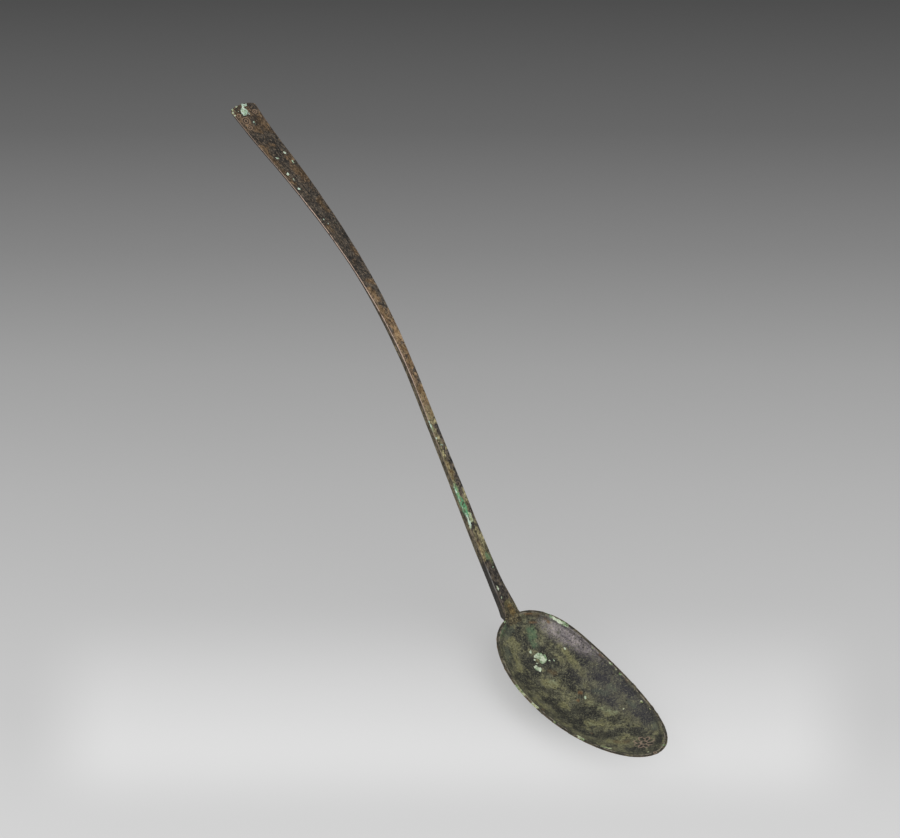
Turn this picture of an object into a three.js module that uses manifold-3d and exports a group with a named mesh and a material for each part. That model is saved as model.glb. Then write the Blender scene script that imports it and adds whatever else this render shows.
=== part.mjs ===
// A long bronze spoon of the ancient Near East: a thin beaten bowl with a flat rim, and a forged handle
// that is lapped under the bowl's heel. Millimetres, +Z up. The rim is level at heel and tip, +X points
// at the bowl's tip, and the origin is the middle of the small flat that the bowl rests on.

import * as THREE from 'three';
import { mergeVertices } from 'three/addons/utils/BufferGeometryUtils.js';
import Module from 'manifold-3d';

const wasm = await Module();
wasm.setup();

// Bowl
const bowlLength = 72; // heel to tip, over the rim
const bowlWidth = 35; // over the rim at its widest
const bowlDepth = 8.5; // underside to the rim, where the rim is lowest
const rimLift = 4.4; // how far heel and tip stand above the lowest stretch of rim
const heelToDeepest = 33; // from the heel to the deepest point
const rimWidth = 1; // flat top of the rim
const floorThickness = 1.1; // wall at the deepest point
const restReach = 0.16; // the resting flat, as a part of the way out to the rim
const widestShift = 0.113; // radians that move the widest place towards the heel
const heelFullness = 0.3; // how much blunter than an ellipse the heel is
const tipFullness = 0.15;
const wallCurve = 1.9; // power of the curve from the floor up to the rim

// Handle
const handleLength = 195; // along its top face, from the bowl's heel to the end
const rootStep = 1; // top of the root above the rim at the heel, level with the bowl's inside
const shankSlope = 44.5; // degrees from the rim's plane
const bladeSlope = 13.5; // degrees, where the handle has become a flat blade
const rootBlend = 39; // length over which the heel's slope turns into the shank's
const bendStart = 73.5; // from the heel to the start of the bend
const bendLength = 100; // length of the bend from shank to blade
const upturnAngle = 8.8; // degrees that the end turns up again
const upturnLength = 31;
const shankWidth = 2.9; // at its narrowest, below the bend
const shankRootWidth = 4; // where it leaves the root
const shankTaperLength = 65; // over which the shank narrows upwards
const endWidth = 9.8;
const rootWidth = 5.7;
const bladeTaperLength = 104; // over which the blade widens from the shank to the end
const bladeTaperCurve = 1.08;
const rootFlareLength = 12; // over which the shank widens into the root
const rootFlareCurve = 2;
const endThickness = 0.9;
const shankThickness = 2.6;
const rootThickness = 3.4;
const bladeFlatLength = 62; // the last stretch of the blade, as thin as its end
const bladeThinning = 45; // over which the shank thins to the blade
const rootThickening = 60;
const upperEdge = 0.25; // chamfer along the crisp upper edges
const lowerEdge = 0.5; // rounder edges underneath
const endRadius = 12; // shallow arc that closes the end

// Lap joint
const tongueLength = 13; // how far the root reaches under the bowl
const tongueTipWidth = 2.2;
const tongueTipThickness = 0.8;
const seatClearance = 0.3; // room for the solder between tongue and bowl

// Fineness of the faces
const bowlSegments = 96;
const bowlRings = 12;
const handleSteps = 96;
const endSegments = 24;
const weldDistance = 1e-5;
const slopeStep = 1e-4; // share of the way over which a slope is taken

const heelX = -heelToDeepest;
const heelHeight = bowlDepth + rimLift;
const radians = THREE.MathUtils.degToRad;
const { lerp, smoothstep } = THREE.MathUtils;

const bronze = {
  bowl: new THREE.MeshStandardMaterial({ color: 0x4b4a3c, roughness: 0.55, metalness: 0.6 }),
  handle: new THREE.MeshStandardMaterial({ color: 0x5c4a3d, roughness: 0.5, metalness: 0.7 }),
};

// Joins shared vertices and drops the empty triangles at the poles, so that the mesh closes.
function welded(geometry) {
  geometry.deleteAttribute('normal');
  geometry.deleteAttribute('uv');
  const merged = mergeVertices(geometry, weldDistance);
  const index = [];
  const source = merged.index.array;
  for (let i = 0; i < source.length; i += 3) {
    const [a, b, c] = [source[i], source[i + 1], source[i + 2]];
    if (a !== b && b !== c && c !== a) index.push(a, b, c);
  }
  merged.setIndex(index);
  return merged;
}

function toSolid(geometry) {
  const vertProperties = new Float32Array(geometry.attributes.position.array);
  const triVerts = new Uint32Array(geometry.index.array);
  return new wasm.Manifold(new wasm.Mesh({ numProp: 3, vertProperties, triVerts }));
}

function toGeometry(solid) {
  const { vertProperties, triVerts } = solid.getMesh();
  const geometry = new THREE.BufferGeometry();
  geometry.setAttribute('position', new THREE.BufferAttribute(vertProperties, 3));
  geometry.setIndex(new THREE.BufferAttribute(triVerts, 1));
  geometry.computeVertexNormals();
  return geometry;
}

// Moves every vertex of a geometry to the place that a function gives it.
function reshape(geometry, place) {
  const position = geometry.attributes.position;
  const from = new THREE.Vector3();
  for (let i = 0; i < position.count; i += 1) {
    const to = place(from.fromBufferAttribute(position, i));
    position.setXYZ(i, to.x, to.y, to.z);
  }
  return geometry;
}

// Plan of the rim. Turn 0 is the heel and half a turn is the tip.
function rimOutline(turn) {
  const across = Math.sin(turn + widestShift * Math.sin(turn));
  const endShape = Math.cos(turn) > 0 ? heelFullness : tipFullness;
  const fullness = 1 + endShape * (1 - Math.abs(Math.sin(turn)));
  const x = heelX + (bowlLength / 2) * (1 - Math.cos(turn));
  return new THREE.Vector2(x, (bowlWidth / 2) * across * fullness);
}

// The same outline moved square to itself, outwards if outset is positive.
function offsetOutline(turn, outset) {
  const ahead = rimOutline(turn + slopeStep);
  const along = ahead.sub(rimOutline(turn - slopeStep)).normalize();
  return rimOutline(turn).add(new THREE.Vector2(-along.y, along.x).multiplyScalar(outset));
}

function rimHeight(turn) {
  return bowlDepth + rimLift * Math.cos(turn) ** 2;
}

// Share of the rise from floor to rim at a share of the way out.
function wallRise(reach, flatReach) {
  return Math.max(0, (reach - flatReach) / (1 - flatReach)) ** wallCurve;
}

// A point of a bowl-shaped skin. Outset grows the plan and base is the height of its floor.
function skinPoint(turn, reach, outset, base, flatReach) {
  const plan = offsetOutline(turn, outset).multiplyScalar(reach);
  const height = lerp(base, rimHeight(turn) + Math.min(base, 0), wallRise(reach, flatReach));
  return new THREE.Vector3(plan.x, plan.y, height);
}

function outerSkin(turn, reach, clearance = 0) {
  return skinPoint(turn, reach, clearance, -clearance, restReach);
}

function innerSkin(turn, reach) {
  return skinPoint(turn, reach, -rimWidth, floorThickness, 0);
}

// A dish turned about the axis and then drawn out to the bowl's plan. A profile point is the share of the
// way out and which skin it lies on, 0 for the outer and 1 for the one above it.
function drawnDish(profile, upperSkin, clearance) {
  const turned = new THREE.LatheGeometry(profile, bowlSegments);
  const drawn = reshape(turned, (point) => {
    const turn = Math.atan2(point.x, -point.z);
    const reach = Math.hypot(point.x, point.z);
    return point.y > 0 ? upperSkin(turn, reach) : outerSkin(turn, reach, clearance);
  });
  return welded(drawn);
}

function dishProfile() {
  const profile = [new THREE.Vector2(0, 0)];
  for (let ring = 0; ring <= bowlRings; ring += 1) {
    profile.push(new THREE.Vector2(lerp(restReach, 1, ring / bowlRings), 0));
  }
  for (let ring = bowlRings; ring >= 0; ring -= 1) {
    profile.push(new THREE.Vector2(ring / bowlRings, 1));
  }
  return profile;
}

function makeBowl() {
  return toSolid(drawnDish(dishProfile(), innerSkin, 0));
}

// All that the bowl fills or covers, grown by the seat's clearance: it cuts the root to its seat.
function bowlEnvelope() {
  const top = heelHeight + rootThickness + rootStep;
  const lid = (turn, reach) => {
    const edge = outerSkin(turn, reach, seatClearance);
    return edge.setZ(top);
  };
  return toSolid(drawnDish(dishProfile(), lid, seatClearance));
}

// Slope in degrees of the bowl's outside at the heel, along the middle line.
function skinSlope(reach) {
  const outer = outerSkin(0, reach + slopeStep);
  const inner = outerSkin(0, reach - slopeStep);
  return THREE.MathUtils.radToDeg(Math.atan2(outer.z - inner.z, inner.x - outer.x));
}

const heelSlope = skinSlope(1);

function handleSlope(distance) {
  const end = handleLength - upturnLength;
  const shank = lerp(heelSlope, shankSlope, smoothstep(distance, 0, rootBlend));
  const bend = smoothstep(distance, bendStart, bendStart + bendLength);
  const upturn = upturnAngle * Math.max(0, (distance - end) / upturnLength) ** 2;
  return lerp(shank, bladeSlope, bend) + upturn;
}

// Middle of the handle's top face at equal steps from the heel, found by following the slope.
function topLine() {
  const root = new THREE.Vector3(heelX, 0, heelHeight + rootStep);
  const points = [root];
  const step = handleLength / handleSteps;
  for (let i = 0; i < handleSteps; i += 1) {
    const slope = radians(handleSlope((i + 0.5) * step));
    const along = new THREE.Vector3(-Math.cos(slope), 0, Math.sin(slope));
    points.push(points[i].clone().addScaledVector(along, step));
  }
  return new THREE.CatmullRomCurve3(points);
}

const handleLine = topLine();

function handleWidth(distance) {
  const fromEnd = handleLength - distance;
  const blade = Math.max(0, 1 - fromEnd / bladeTaperLength) ** bladeTaperCurve;
  const taper = Math.max(0, 1 - distance / shankTaperLength);
  const flare = Math.max(0, 1 - distance / rootFlareLength) ** rootFlareCurve;
  const shank = lerp(shankWidth, shankRootWidth, taper);
  return shank + (endWidth - shankWidth) * blade + (rootWidth - shankRootWidth) * flare;
}

function handleThickness(distance) {
  const blade = smoothstep(handleLength - distance, bladeFlatLength, bladeFlatLength + bladeThinning);
  const root = Math.max(0, 1 - distance / rootThickening);
  return lerp(endThickness, shankThickness, blade) + (rootThickness - shankThickness) * root;
}

// Cross-section of the handle at a distance from the heel: middle of its top, slope, width and thickness.
function handleStation(distance) {
  return {
    top: handleLine.getPoint(distance / handleLength),
    slope: radians(handleSlope(distance)),
    width: handleWidth(distance),
    thickness: handleThickness(distance),
  };
}

// Cross-section of the tongue, which follows the bowl's outside. Its upper part lies inside the bowl's
// wall and is cut away by the bowl's envelope.
function tongueStation(distance) {
  const share = distance / tongueLength;
  const reach = 1 - distance / heelToDeepest;
  const slope = radians(skinSlope(reach));
  const above = rootStep * Math.cos(radians(heelSlope));
  const below = lerp(rootThickness - above, tongueTipThickness + seatClearance, share);
  const up = new THREE.Vector3(Math.sin(slope), 0, Math.cos(slope));
  return {
    top: outerSkin(0, reach).addScaledVector(up, above),
    slope,
    width: lerp(rootWidth, tongueTipWidth, share),
    thickness: above + below,
  };
}

// Half a size, or half less the chamfer where the unit section's corner begins.
function sectionOffset(unit, size, edge) {
  const chamfer = Math.abs(unit) < 1 ? Math.min(edge, size / 3) : 0;
  return Math.sign(unit) * (size / 2 - chamfer);
}

// Unit section: 1 is the full size and 0.5 the place where a chamfer begins.
function unitSection() {
  const corners = [[1, 0.5], [0.5, 1], [0, 1], [-0.5, 1], [-1, 0.5]];
  const lower = corners.map(([u, v]) => [-u, -v]);
  return new THREE.Shape([...corners, ...lower].map(([u, v]) => new THREE.Vector2(u, v)));
}

// The handle as one bar from the tip of the tongue to the end, before its seat and its end are cut.
function handleBar() {
  const settings = { depth: 1, steps: handleSteps, bevelEnabled: false };
  const bar = new THREE.ExtrudeGeometry(unitSection(), settings);
  reshape(bar, ({ x: across, y: up, z: share }) => {
    const distance = share * (handleLength + tongueLength) - tongueLength;
    const station = distance < 0 ? tongueStation(-distance) : handleStation(distance);
    const edge = up > 0 ? upperEdge : lowerEdge;
    const side = -sectionOffset(across, station.width, edge);
    const height = sectionOffset(up, station.thickness, edge) - station.thickness / 2;
    const normal = new THREE.Vector3(Math.sin(station.slope), 0, Math.cos(station.slope));
    return station.top.clone().addScaledVector(normal, height).setY(side);
  });
  return toSolid(welded(bar));
}

// What is cut off the blade's end so that it closes in a shallow arc. It reaches well past both faces.
function endOffcut() {
  const side = endRadius + endWidth;
  const plan = new THREE.Shape();
  plan.moveTo(-endRadius, -side);
  plan.lineTo(endRadius, -side);
  plan.lineTo(endRadius, side);
  plan.lineTo(-endRadius, side);
  plan.lineTo(-endRadius, endRadius);
  plan.absarc(-endRadius, 0, endRadius, Math.PI / 2, -Math.PI / 2, true);
  const depth = 4 * endThickness;
  const block = new THREE.ExtrudeGeometry(plan, { depth, bevelEnabled: false, curveSegments: endSegments });
  const station = handleStation(handleLength);
  block.translate(0, 0, -depth / 2);
  block.rotateY(station.slope);
  block.rotateZ(Math.PI);
  block.translate(station.top.x, 0, station.top.z);
  return toSolid(welded(block));
}

function makeHandle() {
  return handleBar().subtract(bowlEnvelope()).subtract(endOffcut());
}

function namedMesh(name, solid, material) {
  const mesh = new THREE.Mesh(toGeometry(solid), material);
  mesh.name = name;
  return mesh;
}

const spoon = new THREE.Group();
spoon.add(namedMesh('bowl', makeBowl(), bronze.bowl));
spoon.add(namedMesh('handle', makeHandle(), bronze.handle));

export default spoon;
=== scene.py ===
# Looks of a long bronze spoon of the ancient Near East: a beaten bowl with a flat rim, a forged handle that
# is soldered under the bowl's heel, and the patina, punched ornament and green crusts that age left on them.
import math

import bmesh
import bpy
import numpy as np
from mathutils import Matrix, Vector, noise


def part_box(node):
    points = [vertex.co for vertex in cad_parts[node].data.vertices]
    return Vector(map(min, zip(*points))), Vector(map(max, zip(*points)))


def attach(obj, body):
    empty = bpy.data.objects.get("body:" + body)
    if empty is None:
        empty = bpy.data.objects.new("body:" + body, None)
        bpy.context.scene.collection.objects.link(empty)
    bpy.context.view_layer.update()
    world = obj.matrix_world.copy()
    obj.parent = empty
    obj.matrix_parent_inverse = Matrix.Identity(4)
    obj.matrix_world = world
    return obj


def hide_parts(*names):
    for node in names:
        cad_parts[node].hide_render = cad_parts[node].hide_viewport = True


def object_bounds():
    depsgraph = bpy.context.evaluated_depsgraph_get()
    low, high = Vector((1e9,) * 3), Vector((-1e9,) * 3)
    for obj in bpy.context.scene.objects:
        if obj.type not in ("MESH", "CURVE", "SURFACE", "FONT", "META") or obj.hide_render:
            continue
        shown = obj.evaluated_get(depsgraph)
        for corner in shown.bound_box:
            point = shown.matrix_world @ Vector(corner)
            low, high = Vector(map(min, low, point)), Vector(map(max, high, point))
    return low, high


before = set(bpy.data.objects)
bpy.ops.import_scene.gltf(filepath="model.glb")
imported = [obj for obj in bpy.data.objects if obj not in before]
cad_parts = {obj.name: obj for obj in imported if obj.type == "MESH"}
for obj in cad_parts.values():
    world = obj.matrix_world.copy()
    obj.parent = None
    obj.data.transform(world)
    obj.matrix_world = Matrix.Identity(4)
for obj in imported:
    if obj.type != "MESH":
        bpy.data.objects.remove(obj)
cad_low, cad_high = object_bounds()
bowl_low, bowl_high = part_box("bowl")

# Shapes are worked out in millimetres, with the bowl's tip towards +X and its resting flat at the origin.
MM = 0.001
BOX_MARGIN = 0.02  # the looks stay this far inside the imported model's box

# Bowl
HEEL_X = bowl_low.x / MM
BOWL_LENGTH = (bowl_high.x - bowl_low.x) / MM
BOWL_WIDTH = 35.0
BOWL_DEPTH = 8.5
RIM_LIFT = 4.4
RIM_WIDTH = 1.0
FLOOR_THICKNESS = 1.1
REST_REACH = 0.16
WIDEST_SHIFT = 0.113
HEEL_FULLNESS = 0.3
TIP_FULLNESS = 0.15
WALL_CURVE = 1.9
HEEL_SWAY = 0.45  # the smith's hand: the heel's half stands this far to the bowl's left
SWAY_LENGTH = 16.0

# Handle
HANDLE_LENGTH = 194.9
ROOT_STEP = 1.0
SHANK_SLOPE = 44.5
BLADE_SLOPE = 13.5
ROOT_BLEND = 39.0
BEND_START = 73.5
BEND_LENGTH = 100.0
UPTURN_ANGLE = 8.8
UPTURN_LENGTH = 31.0
SHANK_WIDTH = 2.9
SHANK_ROOT_WIDTH = 4.0
SHANK_TAPER_LENGTH = 65.0
END_WIDTH = 9.8
ROOT_WIDTH = 5.7
BLADE_TAPER_LENGTH = 104.0
BLADE_TAPER_CURVE = 1.08
ROOT_FLARE_LENGTH = 17.0
ROOT_FLARE_CURVE = 2.0
END_THICKNESS = 0.9
SHANK_THICKNESS = 2.6
ROOT_THICKNESS = 3.4
BLADE_FLAT_LENGTH = 62.0
BLADE_THINNING = 45.0
ROOT_THICKENING = 60.0
UPPER_EDGE = 0.16
LOWER_EDGE = 0.5
END_RADIUS = 12.0
END_CORNER = 1.0
END_REACH = 9.0  # stretch of blade over which its cross-sections follow the curve of the end
END_SLANT = 0.35  # the end is cut a little askew
# How far the middle of the handle strays to the bowl's left, as it was forged by eye: distance, drift
FORGED_DRIFT = [
    (-12, 0), (0, 0.3), (3, 0.35), (10, 0), (30, -0.1), (66, 0), (85, 0.22), (100, 0.12), (118, -0.35),
    (134, -0.65), (150, -0.6), (168, -0.25), (195, -0.3),
]
TONGUE_LENGTH = 13.0
TONGUE_TIP_WIDTH = 2.2
TONGUE_TIP_THICKNESS = 1.1

# Ornament, punched and cut with a light hand
ROSETTE_PLACE = (31.1, 1.5)
ROSETTE_RADIUS = 3.2
ROSETTE_PETALS = 8
ROSETTE_TURN = math.radians(18)
ROSETTE_WOBBLE = 0.25
PETAL_MIDDLE = 2.05  # from the rosette's centre
PETAL_HALF_LENGTH = 1.15
PETAL_HALF_WIDTH = 0.74
ORNAMENT_LINE = 0.18
ORNAMENT_DEPTH = 0.09

SLOPE_STEP = 1e-4
TURNS = 2 * math.pi


def lerp(low, high, share):
    return low + (high - low) * share


def soft_step(share):
    share = np.clip(share, 0, 1)
    return share * share * (3 - 2 * share)


def rising(value, low, high):
    """0 where the value is at low, 1 at high, and soft between. High may lie below low."""
    return soft_step((value - low) / (high - low))


def ripple(points, size, seed=0, octaves=3):
    """Soft noise of about -1 to 1 over points in millimetres, with features about size across."""
    shift = Vector((17.3, 5.1, 9.7)) * seed
    return np.array([noise.fractal(Vector(p) / size + shift, 1.0, 2.0, octaves) for p in points])


# The bowl's shape. Turn 0 is the heel and half a turn the tip; reach 0 is the middle and 1 the rim.
def rim_outline(turn):
    across = np.sin(turn + WIDEST_SHIFT * np.sin(turn))
    end_shape = np.where(np.cos(turn) > 0, HEEL_FULLNESS, TIP_FULLNESS)
    fullness = 1 + end_shape * (1 - np.abs(np.sin(turn)))
    x = HEEL_X + BOWL_LENGTH / 2 * (1 - np.cos(turn))
    sway = HEEL_SWAY * soft_step((HEEL_X / 4 - x) / SWAY_LENGTH)
    return np.stack([x, BOWL_WIDTH / 2 * across * fullness + sway], axis=-1)


def inset_outline(turn, inset):
    along = rim_outline(turn + SLOPE_STEP) - rim_outline(turn - SLOPE_STEP)
    along /= np.linalg.norm(along, axis=-1, keepdims=True)
    inward = np.stack([along[..., 1], -along[..., 0]], axis=-1)
    return rim_outline(turn) + inward * inset


def rim_height(turn):
    return BOWL_DEPTH + RIM_LIFT * np.cos(turn) ** 2


def joined(plan, height):
    height = np.broadcast_to(height, plan.shape[:-1])
    return np.concatenate([plan, height[..., None]], axis=-1)


def outer_skin(turn, reach):
    rise = np.clip((reach - REST_REACH) / (1 - REST_REACH), 0, None) ** WALL_CURVE
    return joined(rim_outline(turn) * reach, rim_height(turn) * rise)


def inner_skin(turn, reach):
    rise = reach ** WALL_CURVE
    return joined(inset_outline(turn, RIM_WIDTH) * reach, lerp(FLOOR_THICKNESS, rim_height(turn), rise))


def rim_point(turn, inset, drop):
    return joined(inset_outline(turn, inset), rim_height(turn) - drop)


LOOKUP_TURN = np.linspace(0, TURNS, 1440, endpoint=False)
LOOKUP_INNER = inset_outline(LOOKUP_TURN, RIM_WIDTH)
LOOKUP_ANGLE = np.arctan2(LOOKUP_INNER[:, 1], LOOKUP_INNER[:, 0])
LOOKUP_ORDER = np.argsort(LOOKUP_ANGLE)
LOOKUP_RADIUS = np.hypot(LOOKUP_INNER[:, 0], LOOKUP_INNER[:, 1])


def looked_up(values, x, y):
    """A value that belongs to the rim's inner edge, in the direction of a point of the plan."""
    order = LOOKUP_ORDER
    return np.interp(np.arctan2(y, x), LOOKUP_ANGLE[order], values[order], period=TURNS)


def inside_height(x, y):
    """Height of the bowl's inside, or of the rim past the inside's edge."""
    reach = np.clip(np.hypot(x, y) / looked_up(LOOKUP_RADIUS, x, y), 0, 1)
    return lerp(FLOOR_THICKNESS, looked_up(rim_height(LOOKUP_TURN), x, y), reach ** WALL_CURVE)


def in_bowl(x, y):
    return np.array([x, y, float(inside_height(x, y))])


# The handle's shape. Distance runs along its top face from the heel; below 0 it is the tongue.
def heel_slope(reach=1.0):
    near = outer_skin(0.0, reach - SLOPE_STEP)
    far = outer_skin(0.0, reach + SLOPE_STEP)
    return math.degrees(math.atan2(far[2] - near[2], near[0] - far[0]))


HEEL_SLOPE = heel_slope()


def handle_slope(distance):
    shank = lerp(HEEL_SLOPE, SHANK_SLOPE, soft_step(distance / ROOT_BLEND))
    bend = soft_step((distance - BEND_START) / BEND_LENGTH)
    turned_up = np.clip((distance - HANDLE_LENGTH + UPTURN_LENGTH) / UPTURN_LENGTH, 0, None) ** 2
    return np.radians(lerp(shank, BLADE_SLOPE, bend) + UPTURN_ANGLE * turned_up)


LINE_STEP = 0.1
LINE_DISTANCE = np.arange(0, HANDLE_LENGTH + 2 * LINE_STEP, LINE_STEP)
LINE_SLOPE = handle_slope(LINE_DISTANCE[:-1] + LINE_STEP / 2)
LINE_X = HEEL_X - np.concatenate([[0], np.cumsum(np.cos(LINE_SLOPE)) * LINE_STEP])
LINE_Z = BOWL_DEPTH + RIM_LIFT + ROOT_STEP + np.concatenate([[0], np.cumsum(np.sin(LINE_SLOPE)) * LINE_STEP])


def handle_width(distance):
    blade = np.clip(1 - (HANDLE_LENGTH - distance) / BLADE_TAPER_LENGTH, 0, None) ** BLADE_TAPER_CURVE
    flare = np.clip(1 - distance / ROOT_FLARE_LENGTH, 0, None) ** ROOT_FLARE_CURVE
    shank = lerp(SHANK_WIDTH, SHANK_ROOT_WIDTH, np.clip(1 - distance / SHANK_TAPER_LENGTH, 0, None))
    return shank + (END_WIDTH - SHANK_WIDTH) * blade + (ROOT_WIDTH - SHANK_ROOT_WIDTH) * flare


def handle_thickness(distance):
    blade = soft_step((HANDLE_LENGTH - distance - BLADE_FLAT_LENGTH) / BLADE_THINNING)
    root = np.clip(1 - distance / ROOT_THICKENING, 0, None)
    return lerp(END_THICKNESS, SHANK_THICKNESS, blade) + (ROOT_THICKNESS - SHANK_THICKNESS) * root


def handle_drift(distance):
    return np.interp(distance, *zip(*FORGED_DRIFT))


def on_handle(distance, across=0.0, sink=0.0):
    """A point of the handle's top face, or sink below it, in the bowl's millimetres."""
    slope = handle_slope(distance)
    x = np.interp(distance, LINE_DISTANCE, LINE_X) - sink * np.sin(slope)
    z = np.interp(distance, LINE_DISTANCE, LINE_Z) - sink * np.cos(slope)
    return np.array([x, across, z])


def end_setback(across):
    """How far the blade's end falls short of its furthest point: an arc with round corners."""
    half = END_WIDTH / 2
    arc = END_RADIUS - math.sqrt(END_RADIUS ** 2 - across ** 2)
    into_corner = max(0.0, abs(across) - (half - END_CORNER))
    corner = END_CORNER - math.sqrt(max(0.0, END_CORNER ** 2 - into_corner ** 2))
    return arc + corner + END_SLANT * (across / half + 0.6)


# Meshes
def new_object(name, data):
    made = bpy.data.objects.new(name, data)
    bpy.context.scene.collection.objects.link(made)
    return made


def new_piece(name, points, faces):
    """A mesh object of points in millimetres, placed in metres."""
    mesh = bpy.data.meshes.new(name)
    mesh.from_pydata((np.asarray(points) * MM).tolist(), [], faces)
    mesh.validate()
    mesh.update()
    return new_object(name, mesh)


def tube_faces(rings, count):
    """Quads of a tube of rings of count points each."""
    faces = []
    for ring in range(rings - 1):
        for k in range(count):
            after = (k + 1) % count
            low, high = ring * count, (ring + 1) * count
            faces.append((low + k, low + after, high + after, high + k))
    return faces


def faces_outwards(piece):
    shape = bmesh.new()
    shape.from_mesh(piece.data)
    bmesh.ops.recalc_face_normals(shape, faces=shape.faces)
    shape.to_mesh(piece.data)
    shape.free()


def triples(source, name, count):
    values = np.empty(count * 3)
    source.foreach_get(name, values)
    return values.reshape(-1, 3)


def coordinates(piece):
    return triples(piece.data.vertices, "co", len(piece.data.vertices)) / MM


def directions(piece):
    return triples(piece.data.vertex_normals, "vector", len(piece.data.vertices))


def keep_in_box(points):
    low = np.array(cad_low) / MM + BOX_MARGIN
    high = np.array(cad_high) / MM - BOX_MARGIN
    low[2] = cad_low.z / MM
    return np.clip(points, low, high)


def reshape(piece, points):
    piece.data.vertices.foreach_set("co", (keep_in_box(points) * MM).ravel())
    piece.data.update()


def paint(piece, **masks):
    """Stores values for the vertices, which the piece's material reads by their names."""
    for name, values in masks.items():
        made = piece.data.attributes.new(name, "FLOAT", "POINT")
        made.data.foreach_set("value", np.asarray(values, dtype=np.float32))


def read_paint(piece, name):
    values = np.empty(len(piece.data.vertices), dtype=np.float32)
    piece.data.attributes[name].data.foreach_get("value", values)
    return values.astype(float)


def refine(piece, places, rounds):
    """Splits the faces near given places, once for each margin in rounds."""
    shape = bmesh.new()
    shape.from_mesh(piece.data)
    for margin in rounds:
        shape.verts.ensure_lookup_table()
        points = np.array([v.co for v in shape.verts]) / MM
        gap = gap_to(points, places)
        close = gap < margin
        edges = [e for e in shape.edges if close[e.verts[0].index] and close[e.verts[1].index]]
        bmesh.ops.subdivide_edges(shape, edges=edges, cuts=1, use_grid_fill=True)
        shape.verts.index_update()
    shape.to_mesh(piece.data)
    shape.free()


# Crusts and stains. Each is a strip from one point to another with a radius; a dot has both points alike.
def gap_to_strip(points, strip):
    start, end, radius = strip
    along = end - start
    length = max(float(along @ along), 1e-9)
    share = np.clip((points - start) @ along / length, 0, 1)
    return np.linalg.norm(points - start - share[:, None] * along, axis=1) - radius


def gap_to(points, strips):
    gap = np.full(len(points), 1e3)
    for strip in strips:
        gap = np.minimum(gap, gap_to_strip(points, strip))
    return gap


def cover(points, strips, edge=0.3, ragged=0.35, seed=0, grain=1.1):
    """1 on the strips and 0 off them, with a ragged edge."""
    return soft_step((ripple(points, grain, seed) * ragged - gap_to(points, strips)) / edge + 0.5)


def patches(points, strips, seed):
    """Soft clouds round the strips."""
    return cover(points, strips, edge=1.5, ragged=1.0, seed=seed, grain=1.7)


def strips_on(where, spots, **settings):
    """Strips on a surface. A spot gives a strip's start, end and radius, or the middle and radius of a dot,
    in the two coordinates that where takes: x and y in the bowl, turn and reach under it, or distance along
    the handle and place across it."""
    return [(where(*spot[:2], **settings), where(*spot[-3:-1], **settings), spot[-1]) for spot in spots]


HEEL_CRUSTS = strips_on(in_bowl, [
    (-18.6, 1.1, -17.7, 2.2, 1.15), (-17.1, 2.0, -16.9, 1.3, 1.15), (-19.2, 0.0, -19.2, 1.0, 0.5),
    (-15.9, -2.2, -15.1, -1.6, 0.85), (-21.0, -0.6, 0.38), (-18.3, -1.0, 0.28), (-17.0, -1.1, 0.22),
    (-15.8, 3.6, 0.2), (-15.1, 4.8, 0.25), (-15.9, 10.0, -15.7, 10.1, 0.3),
])
FAR_RIM_CRUSTS = strips_on(in_bowl, [
    (-28.2, 11.7, -27.0, 12.3, 0.3), (-26.2, 12.1, -24.2, 12.9, 0.45), (-23.6, 13.2, -21.8, 14.1, 0.7),
    (-21.6, 14.1, -20.6, 14.7, 0.6), (-1.3, 16.7, -0.6, 16.8, 0.38), (1.8, 16.3, 1.9, 16.4, 0.22),
    (3.9, 16.2, 4.2, 16.2, 0.3), (17.1, 13.5, 17.5, 13.4, 0.4), (21.6, 13.1, 21.8, 13.0, 0.25),
    (-9.3, 16.0, 0.22),
])
NEAR_RIM_CRUSTS = strips_on(in_bowl, [
    (-10.6, -17.0, -8.4, -17.1, 0.95), (-8.4, -17.1, -6.7, -16.9, 0.55), (-1.9, -17.2, -0.6, -16.9, 0.85),
    (3.6, -16.2, 3.8, -16.1, 0.25), (7.5, -16.3, 7.9, -16.3, 0.3), (16.6, -14.0, 18.4, -14.1, 0.85),
    (24.7, -10.8, 26.4, -9.7, 0.88), (36.0, -2.6, 36.2, -2.3, 0.25), (-32.5, -2.6, -31.9, -4.0, 0.22),
])
INSIDE_CRUMBS = strips_on(in_bowl, [
    (1.4, 4.4, 1.9, 4.3, 0.36), (14.4, 9.1, 0.26), (37.2, 4.2, 37.4, 3.6, 0.3),
])
UNDERSIDE_CRUSTS = strips_on(outer_skin, [
    (0.5, 0.8, 0.55, 0.78, 0.9), (0.6, 0.8, 0.61, 0.77, 0.65), (0.67, 0.83, 0.35),
    (1.9, 0.62, 1.95, 0.66, 0.7), (2.02, 0.64, 0.35), (2.7, 0.85, 2.75, 0.9, 0.6),
    (4.3, 0.7, 4.33, 0.68, 1.05), (4.39, 0.65, 4.42, 0.67, 0.75), (4.38, 0.75, 0.4),
    (5.3, 0.9, 5.36, 0.93, 0.6), (5.43, 0.9, 0.35), (3.6, 0.5, 0.4), (4.0, 0.55, 0.3),
])
BOWL_CRUSTS = HEEL_CRUSTS + FAR_RIM_CRUSTS + NEAR_RIM_CRUSTS + INSIDE_CRUMBS + UNDERSIDE_CRUSTS

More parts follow.
